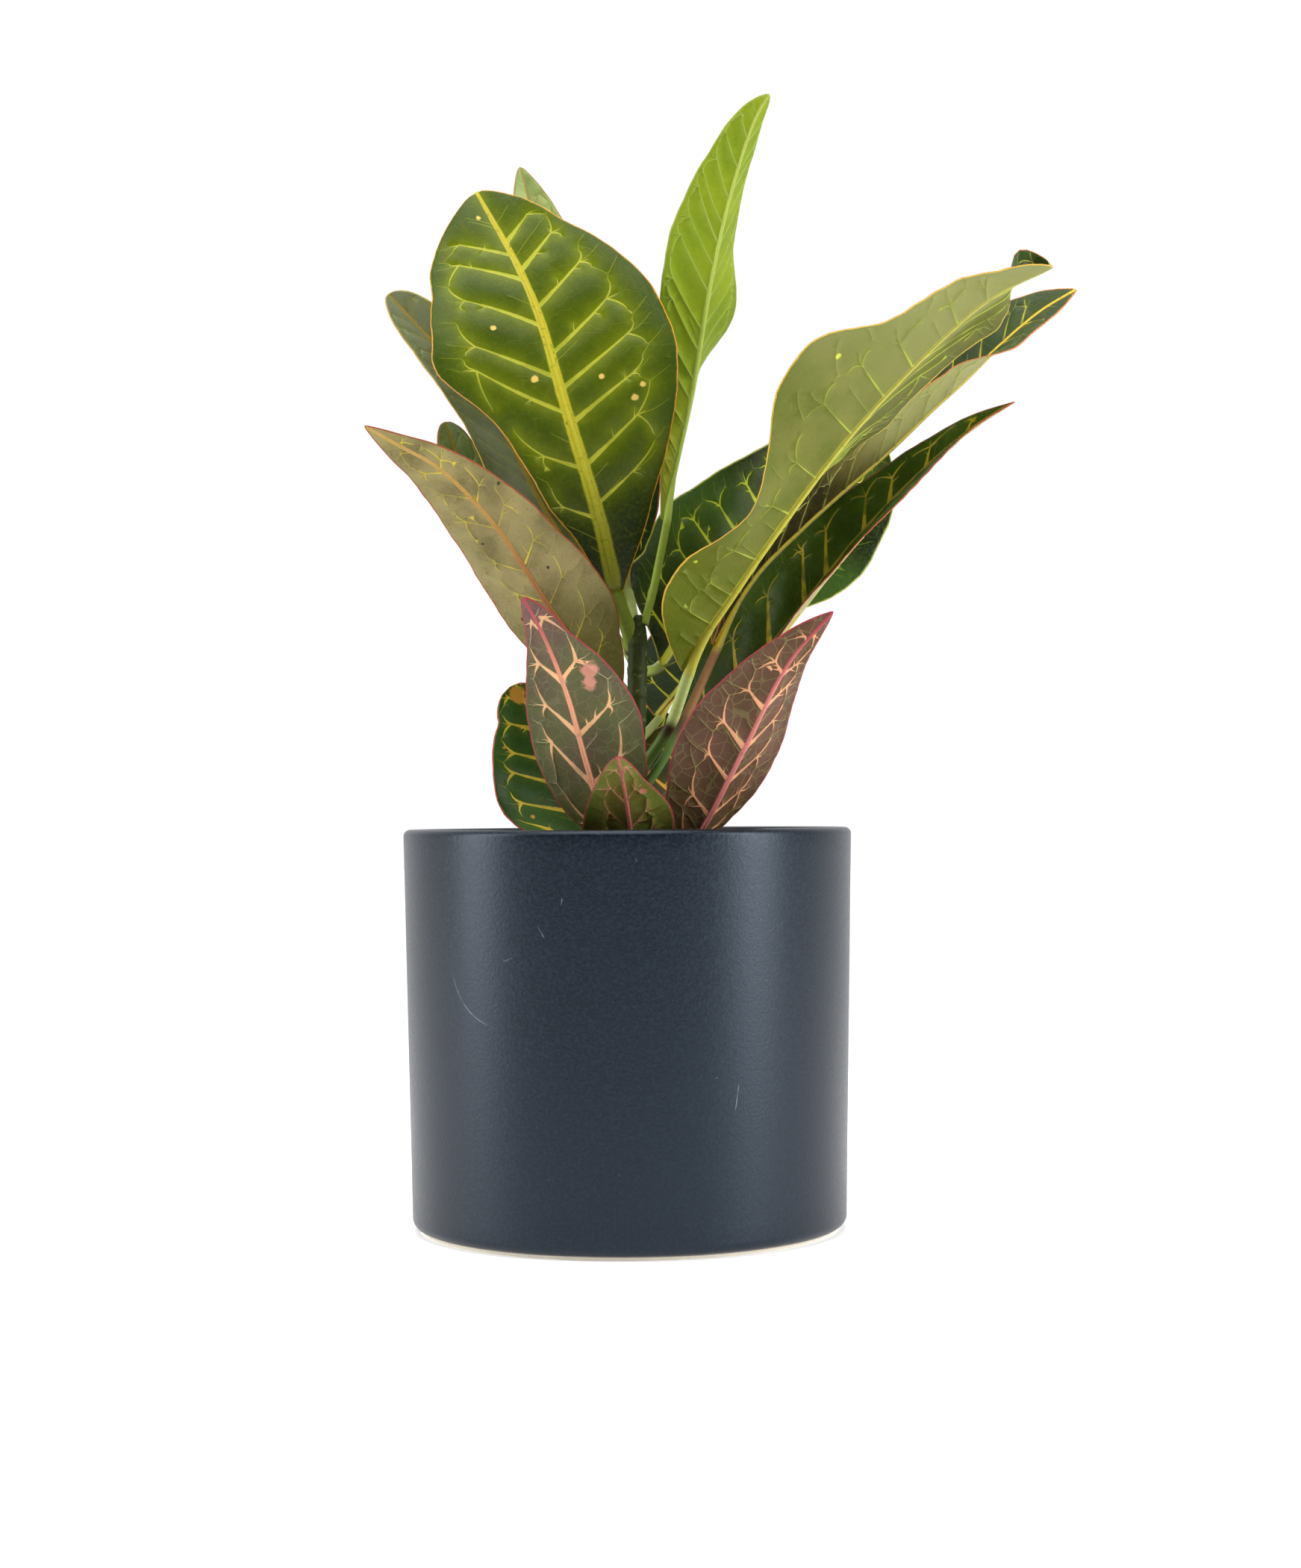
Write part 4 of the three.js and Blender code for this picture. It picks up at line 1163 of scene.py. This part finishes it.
def ribbon(places, widths):
    """The edge of a vein: out along one side and back along the other"""
    ahead = unit(np.gradient(places, axis=0))
    across = np.stack([-ahead[:, 1], ahead[:, 0]], axis=1) * column(widths)
    return np.vstack([places + across, (places - across)[::-1]])


def loose_places(leaf, veins, rng):
    """Places in shifted rows, between the veins and clear of the margin and the midrib"""
    columns = np.arange(-fill_reach, fill_reach, fill_spacing)
    rows = np.arange(fill_end, leaf.length - fill_end, row_spacing)
    x, s = (grid.ravel() for grid in np.meshgrid(columns, rows))
    x = x + np.where(np.round(s / row_spacing).astype(int) % 2, fill_spacing / 2, 0)
    x, s = x + rng.uniform(-jitter, jitter, len(x)), s + rng.uniform(-jitter, jitter, len(s))
    keep = (np.abs(x) < leaf.half_width(s, np.sign(x)) - rim_width - rim_gap) & (np.abs(x) > rib_gap)
    x, s = x[keep], s[keep]
    keep = near_lines(x, s, veins) > vein_gap
    return np.stack([x[keep], s[keep]], 1)


def net_lines(leaf, veins):
    """The lines that the net has to follow, each with whether it is closed"""
    stations = np.arange(0, leaf.length * outline_end, outline_step)
    stations = np.append(stations, leaf.length * last_station)
    left, right = (leaf.half_width(stations, side) for side in (-1, 1))
    there, back = np.stack([right, stations], 1), np.stack([-left, stations], 1)[::-1]
    lines = [(np.vstack([there, [(0, leaf.length)], back]), True)]
    for side, wide in ((1, right), (-1, left)):
        inner = np.stack([side * (wide - rim_width), stations], 1)
        lines.append((inner[wide > rim_width * room_for_rim], False))
    rib = np.stack([np.zeros_like(stations), stations], 1)
    band = rib_band(leaf, stations)
    lines += [(rib + np.stack([side * band, 0 * band], 1), False) for side in (0, -1, 1)]
    for places, widths, _ in veins:
        lines += [(places, False), (ribbon(places, widths), True)]
    return lines


def flat_net(leaf, veins, rng):
    """The flat places of a blade and the triangles between them"""
    places = [tuple(p) for p in loose_places(leaf, veins, rng)]
    edges = []
    for line, closed in net_lines(leaf, veins):
        first = len(places)
        places += [tuple(p) for p in line]
        edges += [(first + i, first + i + 1) for i in range(len(line) - 1)]
        if closed:
            edges.append((first + len(line) - 1, first))
    net = delaunay_2d_cdt([Vector(p) for p in places], edges, [], 1, merge_gap)
    return np.array([tuple(v) for v in net[0]]), np.array([tuple(f) for f in net[2]])


def border(triangles):
    """The edges that only one triangle has, in that triangle's own direction"""
    edges = dict.fromkeys(edge for a, b, c in triangles for edge in ((a, b), (b, c), (c, a)))
    return [(a, b) for a, b in edges if (b, a) not in edges]


# %% Skins, walls and the midrib's path
blade_thickness = 0.55
margin_thickness = 0.36
upper_groove, lower_ridge, fine_ridge = 0.18, 0.3, 0.12
swell_reach, margin_reach = 4.5, 4
pucker = 0.12
glow_reach = 3.2
stalk_steps, midrib_steps = 24, 70
rooted = 0.8
sunk, flattened, flat_from = 0.4, 0.38, 0.1


def skins(leaf, x, s, width, mask, fine, nearest, quilt):
    """The upper and the lower places of a net, and their normals"""
    to_margin = np.clip(width - np.abs(x), 0, None)
    swell = quilt * (1 - np.exp(-(nearest / swell_reach) ** 2)) * (1 - np.exp(-to_margin / margin_reach))
    swell += pucker * np.sin(x * 0.9 + s * 0.35) * np.sin(s * 0.8 - x * 0.3) * np.clip(nearest / 4, 0, 1)
    place, normal = leaf.place(x, s)
    out = np.clip(np.abs(x) / width, 0, 1)
    thickness = blade_thickness + (margin_thickness - blade_thickness) * out
    upper = place + normal * column(swell - upper_groove * mask)
    lower = place + normal * column(swell - thickness - lower_ridge * mask - fine_ridge * fine)
    return upper, lower, normal


def midrib_wire(leaf):
    """The path of the stalk and midrib from the bark on: places, radii, lengths and up"""
    ends = np.concatenate([np.linspace(-leaf.stalk, 0, stalk_steps)[:-1],
                           np.linspace(0, leaf.length * veined_length, midrib_steps)])
    middle, up, _ = leaf.frame(ends)
    on_blade = np.clip(ends / (flat_from * leaf.length), 0, 1)
    radius = rib_radius(leaf, ends) * (1 - flattened * on_blade)
    places = middle - up * column(radius * (1 - sunk * on_blade))
    heights = places[:, 2]
    axis_places = along(stem_places, stem_run, np.interp(heights, stem_places[:, 2], stem_run))
    from_stem = np.linalg.norm(places[:, :2] - axis_places[:, :2], axis=1)
    bark = np.interp(heights, along(stem_places, stem_run, stem_steps)[:, 2], stem_radii)
    start = int(np.argmax(from_stem > bark - rooted))
    return places[start:], radius[start:], ends[start:], up[start:]


def leaf_base(name, leaf, veins, quilt, rng):
    """The two skins of a blade joined at the margin, with the midrib as a loose wire"""
    net, triangles = flat_net(leaf, veins, rng)
    x, s = net[:, 0], net[:, 1]
    width = leaf.half_width(s, np.where(x < 0, -1.0, 1.0))
    mask, fine, away = vein_fields(x, s, veins)
    nearest = np.minimum(away, np.abs(x))
    upper, lower, normal = skins(leaf, x, s, width, mask, fine, nearest, quilt)
    places, radius, ends, up = midrib_wire(leaf)
    count, more = len(net), len(ends)
    faces = [tuple(t) for t in triangles] + [tuple(t[::-1] + count) for t in triangles]
    faces += [(b, a, a + count, b + count) for a, b in border(triangles)]
    edges = [(2 * count + i, 2 * count + i + 1) for i in range(more - 1)]
    mesh = bpy.data.meshes.new(name)
    mesh.from_pydata(np.vstack([upper, lower, places]) * mm, edges, faces)
    none, full = np.zeros(count), np.ones(count)
    rib = np.clip(1 - np.abs(x) / rib_band(leaf, s), 0, 1)
    rim = np.clip(1 - (width - np.abs(x)) / rim_width, 0, 1)
    glow = np.exp(-nearest / glow_reach)
    share, reach = s / leaf.length, np.where(ends < 0, ends / leaf.stalk, ends / leaf.length)
    for field, above, below, on_rib in (
            ("vein", mask, mask, 0), ("fine", fine, fine, 0), ("rib", rib, rib, 1), ("rim", rim, rim, 0),
            ("glow", glow, glow, 1), ("under", none, full, 0), ("reach", share, share, reach),
            ("radius", none, none, radius * mm)):
        store(mesh, field, np.concatenate([above, below, np.zeros(more) + on_rib]))
    store(mesh, "up", np.vstack([normal, normal, up]), "FLOAT_VECTOR")
    flat = [np.concatenate([x, x, 0 * ends]), np.concatenate([s, s, ends]), np.zeros(2 * count + more)]
    store(mesh, "flat", np.stack(flat, 1) * mm, "FLOAT_VECTOR")
    return mesh


# %% Tree that adds the midrib and finishes a leaf
def leaf_tree():
    """Sweeps the loose wire into the stalk and midrib, and joins it to the blade"""
    tree, given, result = new_tree("leaf_with_midrib", [("Sides", "Int"), ("Finish", "Material")])
    neighbours = out_of(tree, "GeometryNodeInputMeshEdgeNeighbors")
    loose = out_of(tree, "FunctionNodeCompare", {2: neighbours, 3: 0}, data_type="INT", operation="EQUAL")
    rib = sweep(tree, {"Mesh": given["Geometry"], "Selection": loose}, given["Sides"])
    normal = out_of(tree, "GeometryNodeInputNormal")
    up = out_of(tree, "GeometryNodeInputNamedAttribute", {"Name": "up"}, data_type="FLOAT_VECTOR")
    under = ramp(tree, vector_of(tree, "DOT_PRODUCT", normal, up), 0.2, -0.2)
    sided = out_of(tree, "GeometryNodeStoreNamedAttribute", {
        "Geometry": rib, "Name": "under", "Value": under}, data_type="FLOAT", domain="POINT")
    blade = out_of(tree, "GeometryNodeDeleteGeometry", {
        "Geometry": given["Geometry"], "Selection": loose}, domain="EDGE")
    close_tree(tree, join(tree, (blade, sided)), given["Finish"], result)
    return tree


# %% [markdown]
# ## The colours of the leaves
# A mature croton leaf is dark green above with yellow veins, and pale olive below. The
# youngest leaf is still bright green, and the oldest, low on the stem, have turned
# maroon with salmon veins. One recipe does them all. It reads the vein, midrib and
# margin that are kept on the mesh, breaks their edges up with noise as the real
# colour bleeds out of a vein, and adds a fine net of the smallest veins.

# %% The looks of the leaves
# The strong veins: their half width at the midrib, the share of the width at which they
# fork, their prongs' half width, their distance, the share of arches that close, and spurs
Veins = namedtuple("Veins", "thick reach prong apart arches spurs")
bold, plain = Veins(0.78, 0.58, 0.5, 14, 0.5, 2), Veins(0.5, 0.6, 0.3, 14, 0.5, 1)
faint = Veins(0.3, 0.8, 0.18, 11, 0.3, 0)

# The ten colours of one face of a leaf: two of the blade, its base, its mottling, the glow
# along a vein, the fine and the strong veins, the midrib, its tip, and the margin. The base
# colour, near the stalk, is painted shade on leaves whose lower blade lies in shade, and
# painted light shining through on the young leaf
Skin = namedtuple("Skin", "tone other low mottle glow fine vein rib rib_tip margin")


def skin(codes):
    return Skin(*codes.split())


olive_under = skin("6f7636 5f692a 7c8040 7e8450 848e44 98a056 a3a655 b0aa66 a8a458 a0643c")
# A croton's dark green upper face, darkened further as painted shade for the leaves deep behind the stem.
shade_darkened_upper = skin("17270a 1f3210 263810 2c3c18 3c4c12 8c9a30 c8c232 cac040 bcb23a a85634")
green_stalk = ("7f8f48", "9fa462")
looks = {
    "crown": dict(
        # The dark base colour of the upper face is painted shade on the lower blade.
        upper=skin("3c4c01 324607 1a2404 646f07 7a8608 8a921e acae36 b8b22c bcae2c cc902e"),
        under=olive_under, stalk=("66762a", "8c9a34"), glow=0.7, glow_low=0.15, rib_low="84861c", thick=2.8,
        band=1.25, veins=Veins(0.9, 0.66, 0.45, 14, 0.6, 2), quilt=1.0,
        spots=[(-4.2, 145, 1.1), (-17, 100, 1.2), (24, 62, 1.5), (-8, 78, 1.6), (15, 73, 1.1), (28, 66, 1.2)],
        spot="d8b860"),
    "young": dict(
        # The bright base colours of both faces are painted light shining through the young leaf from behind.
        upper=skin("587407 6d850d 839018 84971d 96a319 96a842 a2b048 a6bc48 a0b444 8f9848"),
        under=skin("627d04 7d900f 989a22 969e22 98a41d 8aa040 94a848 a8bc50 a4b052 9a9a50"),
        stalk=("7c9030", "94a640"), glow=0.4, veins=faint, quilt=1.4),
    "arching": dict(
        upper=skin("1f300c 2e421a 34461a 42542a 55661e 8a9230 bcb43a c4b844 bcae3e b86a34"),
        under=skin("636626 525c0f 5a650b 75723b 797b26 848c3e 96a43c b6b03c a4a04e c8a83c"),
        # The dark colour under the left half is painted shade.
        stalk=("9cae54", "c8d48c"), glow=0.3, outer_under="7e804a", left_under="4c5016", patchy=0.6,
        foot=("3a2c16", "4e662a"), veins=Veins(0.4, 0.5, 0.2, 19, 0.0, 0), quilt=0.4,
        spots=[(30, 118, 1.2), (22, 38, 0.9)], spot="b4ba3c"),
    "right_upper": dict(
        upper=skin("22340f 30441a 38481a 46562c 5e6a20 8a8e34 b4aa38 e0c434 e0bc34 c87a3a"),
        # Underneath, the very dark base colour is painted shade and the paler outer colour is painted light
        # shining through.
        under=skin("675d32 555026 1a1807 736941 746935 8c8c48 9a9850 bcb45a b4a456 a85e34"),
        stalk=("8a5a3c", "a08050"), foot=("66523a", "5a7838"), glow=0.3, painted_shade_span=(0.48, 0.34),
        outer_under="8f9158", outer_span=(0.43, 0.58), patchy=0.7, veins=plain),
    "right_lower": dict(
        upper=skin("314a0d 48611e 313d16 677733 697c1f 7c8430 d0b83a b8ac40 b0a038 a8543a"),
        under=skin("948a6c 80805c 908868 a49c7c 989060 a49a68 aca26c b4a85c ac9c54 a04434"),
        stalk=("86764a", "9c8c5e"), foot=("6a6238", "5a7838"), glow=0.3, patchy=0.6,
        veins=Veins(1.0, 0.6, 0.5, 19, 0.1, 2), quilt=0.9),
    "wide": dict(
        # The near-black base colour and outer colour of the upper face are painted shade.
        upper=skin("3c531b 3f5e26 101c05 65743b 7e942a 7c9c2a d0d838 ccd03c c4cc38 9ca034"),
        under=olive_under, stalk=("869a44", "a0ae58"), glow=0.3, patchy=0.3, outer_upper="101d04",
        outer_span=(0.45, 0.65), veins=Veins(0.95, 0.62, 0.5, 14, 0.4, 2), quilt=0.8),
    "grey_under": dict(
        upper=shade_darkened_upper,
        under=skin("948759 6a6038 6b6829 a19573 9d9359 9a9650 ccb83c 8a4e30 b6964e 8e3a22"),
        stalk=("6a5c34", "7c6c44"), glow=0.25, patchy=0.65, dirt=0.75,
        veins=Veins(0.42, 0.5, 0.25, 17, 0.2, 1), quilt=0.6,
        spots=[(9, 70, 0.8), (-7, 52, 0.7), (12, 40, 0.9), (-10, 84, 0.7)], spot="3c3820"),
    "ridged": dict(
        upper=skin("747a5f 525b38 747a4b 888b7a 949855 70742e 8a8a3c a8923a a0883a b8a040"),
        under=olive_under, stalk=green_stalk, glow=0.3, veins=faint, quilt=1.2),
    "left_back": dict(
        upper=skin("738062 5c7243 808d62 9aa893 b4ba67 5e6824 8a8a34 a89838 a08c38 a04e28"),
        under=olive_under, stalk=green_stalk, glow=0.3, veins=faint, quilt=1.1),
    "rose": dict(
        upper=skin("38231e 2a3612 452d26 49382e 643b32 b07a64 d8a47c cc8874 b04a50 982838"),
        under=skin("545c36 5a4e3e 5f6c30 69774d 7d6b46 b4ac80 e6b484 d89878 a84450 98283a"),
        stalk=("8c5044", "a07060"), glow=0.3, net=0.1, rib_from=0.6, outer_under="66464a",
        outer_span=(0.7, 0.98), veins=Veins(1.15, 0.55, 0.85, 19, 0.8, 3), quilt=0.8,
        spots=[(-9.5, 67, 3.4), (-8.6, 63.5, 3.0)], spot="c88c78"),
    "rose_green": dict(
        upper=skin("3f551c 5a4926 58492f 667641 845c34 8c7a50 b06a58 a86050 a05048 94283a"),
        under=skin("64782c 5e5620 6a5a2a 869d47 9c8343 7c8444 c08468 bc7864 b0685a 98283c"),
        stalk=("864c40", "9a6654"), glow=0.3, net=0.1, veins=Veins(0.5, 0.45, 0.3, 16, 0.7, 2),
        spots=[(-6, 42, 1.4)], spot="c07060"),
    "maroon": dict(
        upper=skin("311e12 281c10 3c2518 423025 552b21 8c6044 cc8a68 c87470 943440 a03440"),
        under=skin("604536 4e3a23 5f4e2f 705a48 724a36 9c9a5c e0a278 cc7c74 a03c48 9c3040"),
        stalk=("7a343a", "8c5048"), glow=0.3, net=0.2, rib_from=0.6, veins=Veins(1.0, 0.5, 0.6, 15, 0.9, 2),
        quilt=0.8),
    "low_left": dict(
        upper=skin("1f3c13 2e501e 38571a 42622d 62831e 8c8c28 d2b83a d4b044 ccb03c c05848"),
        under=olive_under, stalk=green_stalk, glow=0.3, veins=Veins(1.15, 0.68, 0.75, 12, 0.3, 2),
        quilt=0.7, spots=[(-1.5, 69, 4.0), (-17, 50, 0.8), (-19, 22, 1.0)], spot="c8923a"),
    "low_right": dict(
        upper=skin("14240e 1e3016 22341a 2a3c22 6c5a1c a06a2c d0a03c d0a83c c4a438 d0a03c"),
        under=olive_under, stalk=green_stalk, glow=0.5, veins=Veins(0.95, 0.6, 0.6, 15, 0.4, 2)),
    "pale": dict(
        upper=skin("a6b16d 7f9559 b4bc7d bcc58f b7c26d 8c9252 9ca058 aa9e58 a0964e a08048"),
        under=olive_under, stalk=green_stalk, glow=0.3, veins=faint, quilt=1.1),
    # The leaves at the back take the upper colours that are darkened as painted shade.
    "dark": dict(
        upper=shade_darkened_upper, under=olive_under, stalk=green_stalk, glow=0.3, specular=0.06, veins=bold),
}
print(len(looks), "looks of leaves")


# %% The colour of one face
# How far up the blade the base colour reaches: painted shade near the stalk, and on the young leaf painted
# light shining through
low_end, outer_end = (0.38, 0.08), (0.45, 0.9)
rib_low_end = (0.36, 0.04)
dirt_colour = "3c3018"
mottling, fine_strength, flecking = 0.35, 0.75, 0.45


def skin_colour(tree, fields, look, face):
    """The colour of one face of a leaf, upper or under"""
    skin = look[face]
    reach = fields["reach"]
    colour = blend(tree, ramp(tree, fields["patches"], 0.36, 0.64), skin.tone, skin.other)
    # Near the stalk the blade takes its base colour: painted shade, and on the young leaf painted light
    # shining through
    colour = blend(tree, ramp(tree, reach, *look.get("painted_shade_span", low_end)), colour, skin.low)
    # Towards the tip a face can take an outer colour: the rose leaf's own maroon, painted light under the
    # right upper leaf, painted shade on the wide leaf.
    if "outer_" + face in look:
        outer = ramp(tree, reach, *look.get("outer_span", outer_end))
        colour = blend(tree, outer, colour, look["outer_" + face])
    # A half of the blade can take its own colour, which under the arching leaf's left half is painted shade.
    if "left_" + face in look:
        colour = blend(tree, fields["left"], colour, look["left_" + face])
    for field, strength, code in (
            ("mottle", mottling, skin.mottle), ("glow", look["glow"], skin.glow),
            ("net", look.get("net", 0.04), skin.fine), ("fine", fine_strength, skin.fine)):
        colour = blend(tree, times(tree, fields[field], strength), colour, code)
    colour = blend(tree, fields["vein"], colour, skin.vein)
    rib = blend(tree, ramp(tree, reach, look.get("rib_from", 0.1), 1.0), skin.rib, skin.rib_tip)
    if "rib_low" in look:
        rib = blend(tree, ramp(tree, reach, *rib_low_end), rib, look["rib_low"])
    flecked = blend(tree, times(tree, fields["fleck"], flecking), rib, skin.low)
    colour = blend(tree, fields["rib"], colour, flecked)
    colour = blend(tree, times(tree, fields["dirt"], look.get("dirt", 0.2)), colour, dirt_colour)
    if "spots" in look:
        colour = blend(tree, fields["spots"], colour, look["spot"])
    return blend(tree, fields["rim"], colour, skin.margin)


# %% The fields that place the colours
def spots_on(tree, flat, wander, spots):
    """Small spots, each at a flat place with its radius in millimetres"""
    share = 0.0
    for x, s, radius in spots:
        away = vector_of(tree, "DISTANCE", flat, (x * mm, s * mm, 0))
        ragged = plus(tree, away, times(tree, wander, 2.4 * radius * mm))
        share = math_of(tree, "MAXIMUM", share, ramp(tree, ragged, radius * mm, radius * mm * 0.55))
    return share


def fine_net(tree, flat):
    """The net of the smallest veins: the borders of bent cells"""
    clouds = put(tree, "ShaderNodeTexNoise", {"Vector": flat, "Scale": 160.0}).outputs["Color"]
    bent = vector_of(tree, "ADD", flat, vector_of(tree, "SCALE", clouds, 0.0022))
    cells = out_of(tree, "ShaderNodeTexVoronoi", {"Vector": bent, "Scale": 200.0}, feature="DISTANCE_TO_EDGE")
    return ramp(tree, cells, 0.05, 0.012)


def colour_fields(tree, look, kept, flat, ragged, coarse):
    """Where on a leaf each colour lies, from what the mesh keeps and from noise"""
    edge = times(tree, minus(tree, plus(tree, times(tree, ragged, 0.5), times(tree, coarse, 0.5)), 0.5), 0.9)
    reach = kept("reach")
    vein = kept("vein")
    bled_vein = plus(tree, vein, times(tree, edge, ramp(tree, vein, 0, 0.2)))
    gaps = times(tree, ramp(tree, noise(tree, flat, 85.0), 0.46, 0.58), look.get("patchy", 0.25))
    bright = minus(tree, 1.0, gaps)
    glow_here = ramp(tree, reach, 0.05, 0.4, look.get("glow_low", 0.6), 1.0)
    specks = ramp(tree, noise(tree, flat, 1300.0), 0.62, 0.7)
    return {
        "reach": reach,
        # The left half of a blade, where painted shade can lie underneath
        "left": ramp(tree, apart(tree, flat)[0], -1 * mm, -5 * mm),
        "vein": times(tree, ramp(tree, bled_vein, 0.05, 0.42), bright),
        "glow": times(tree, times(tree, kept("glow"), bright), glow_here),
        "rib": ramp(tree, plus(tree, kept("rib"), times(tree, edge, 0.5)), 0.02, 0.35),
        "fine": ramp(tree, kept("fine"), 0.05, 0.5),
        "spots": spots_on(tree, flat, edge, look.get("spots", [])),
        "fleck": ramp(tree, ragged, 0.56, 0.68),
        "dirt": times(tree, specks, ramp(tree, noise(tree, flat, 70.0), 0.42, 0.62)),
        "rim": ramp(tree, plus(tree, kept("rim"), times(tree, edge, 0.8)), 0.45, 0.8),
        "patches": noise(tree, flat, 42.0, 3.0),
        "mottle": ramp(tree, noise(tree, flat, 700.0, 4.0, 0.7), 0.45, 0.8),
        "net": fine_net(tree, flat),
    }


# %% Recipe of a leaf's finish
joint_colour = "4a3a22"
blade_gloss, under_gloss, gloss_change = 0.36, 0.56, 0.16
lets_light_in = 0.25
light_depth = 0.001


def leaf_finish(name, look):
    """The material of one kind of leaf"""
    material, tree, shader = new_finish(name)

    def kept(attribute, output="Fac"):
        return put(tree, "ShaderNodeAttribute", attribute_name=attribute).outputs[output]

    flat = kept("flat", "Vector")
    ragged = noise(tree, flat, 520.0, 3.0, 0.65)
    coarse = noise(tree, flat, 130.0)
    fields = colour_fields(tree, look, kept, flat, ragged, coarse)
    reach = fields["reach"]
    below = kept("under")
    blade = blend(tree, below, *(skin_colour(tree, fields, look, face) for face in ("upper", "under")))
    stalk = blend(tree, ragged, *look["stalk"])
    if "foot" in look:
        stalk = blend(tree, ramp(tree, reach, -0.4, -0.5), stalk, look["foot"][0])
        stalk = blend(tree, ramp(tree, reach, -0.52, -0.64), stalk, look["foot"][1])
    stalked = blend(tree, ramp(tree, reach, 0.03, -0.06), blade, stalk)
    roughness = ramp(tree, below, 0, 1, blade_gloss, under_gloss)
    feed(tree, shader, {
        "Base Color": blend(tree, ramp(tree, reach, -0.86, -0.97), stalked, joint_colour),
        "Roughness": plus(tree, roughness, times(tree, minus(tree, coarse, 0.5), gloss_change)),
        "Specular IOR Level": look.get("specular", 0.18), "Subsurface Weight": lets_light_in,
        "Subsurface Radius": (0.6, 1.0, 0.25), "Subsurface Scale": light_depth})
    bump(tree, shader, minus(tree, times(tree, ragged, 0.35), times(tree, fields["net"], 0.5)), 0.35, 0.0002)
    return material


# %% Make the leaves
leaf_with_midrib = leaf_tree()
first_seed = 40
usual_band, usual_quilt = 1.05, 0.7
finishes = {}
leaf_faces = 0
for number, (node, shape) in enumerate(leaf_shapes.items()):
    rng = np.random.default_rng(first_seed + number)
    leaf = Leaf(shape)
    look = looks[shape["look"]]
    leaf.radius = look.get("thick", leaf.radius)
    leaf.band = look.get("band", usual_band)
    veins = leaf_veins(leaf, look["veins"], rng)
    base = leaf_base(node + "_base", leaf, veins, look.get("quilt", usual_quilt), rng)
    if shape["look"] not in finishes:
        finishes[shape["look"]] = leaf_finish("leaf_" + shape["look"], look)
    piece = grow(node + "_visual", base, leaf_with_midrib, {"Sides": 14, "Finish": finishes[shape["look"]]})
    stand_for(piece, node)
    leaf_faces += len(piece.data.polygons)
    print(node, len(veins), "veins", len(piece.data.polygons), "faces", cubic_cm(piece.data), "cubic cm")
print("leaves", leaf_faces, "faces")
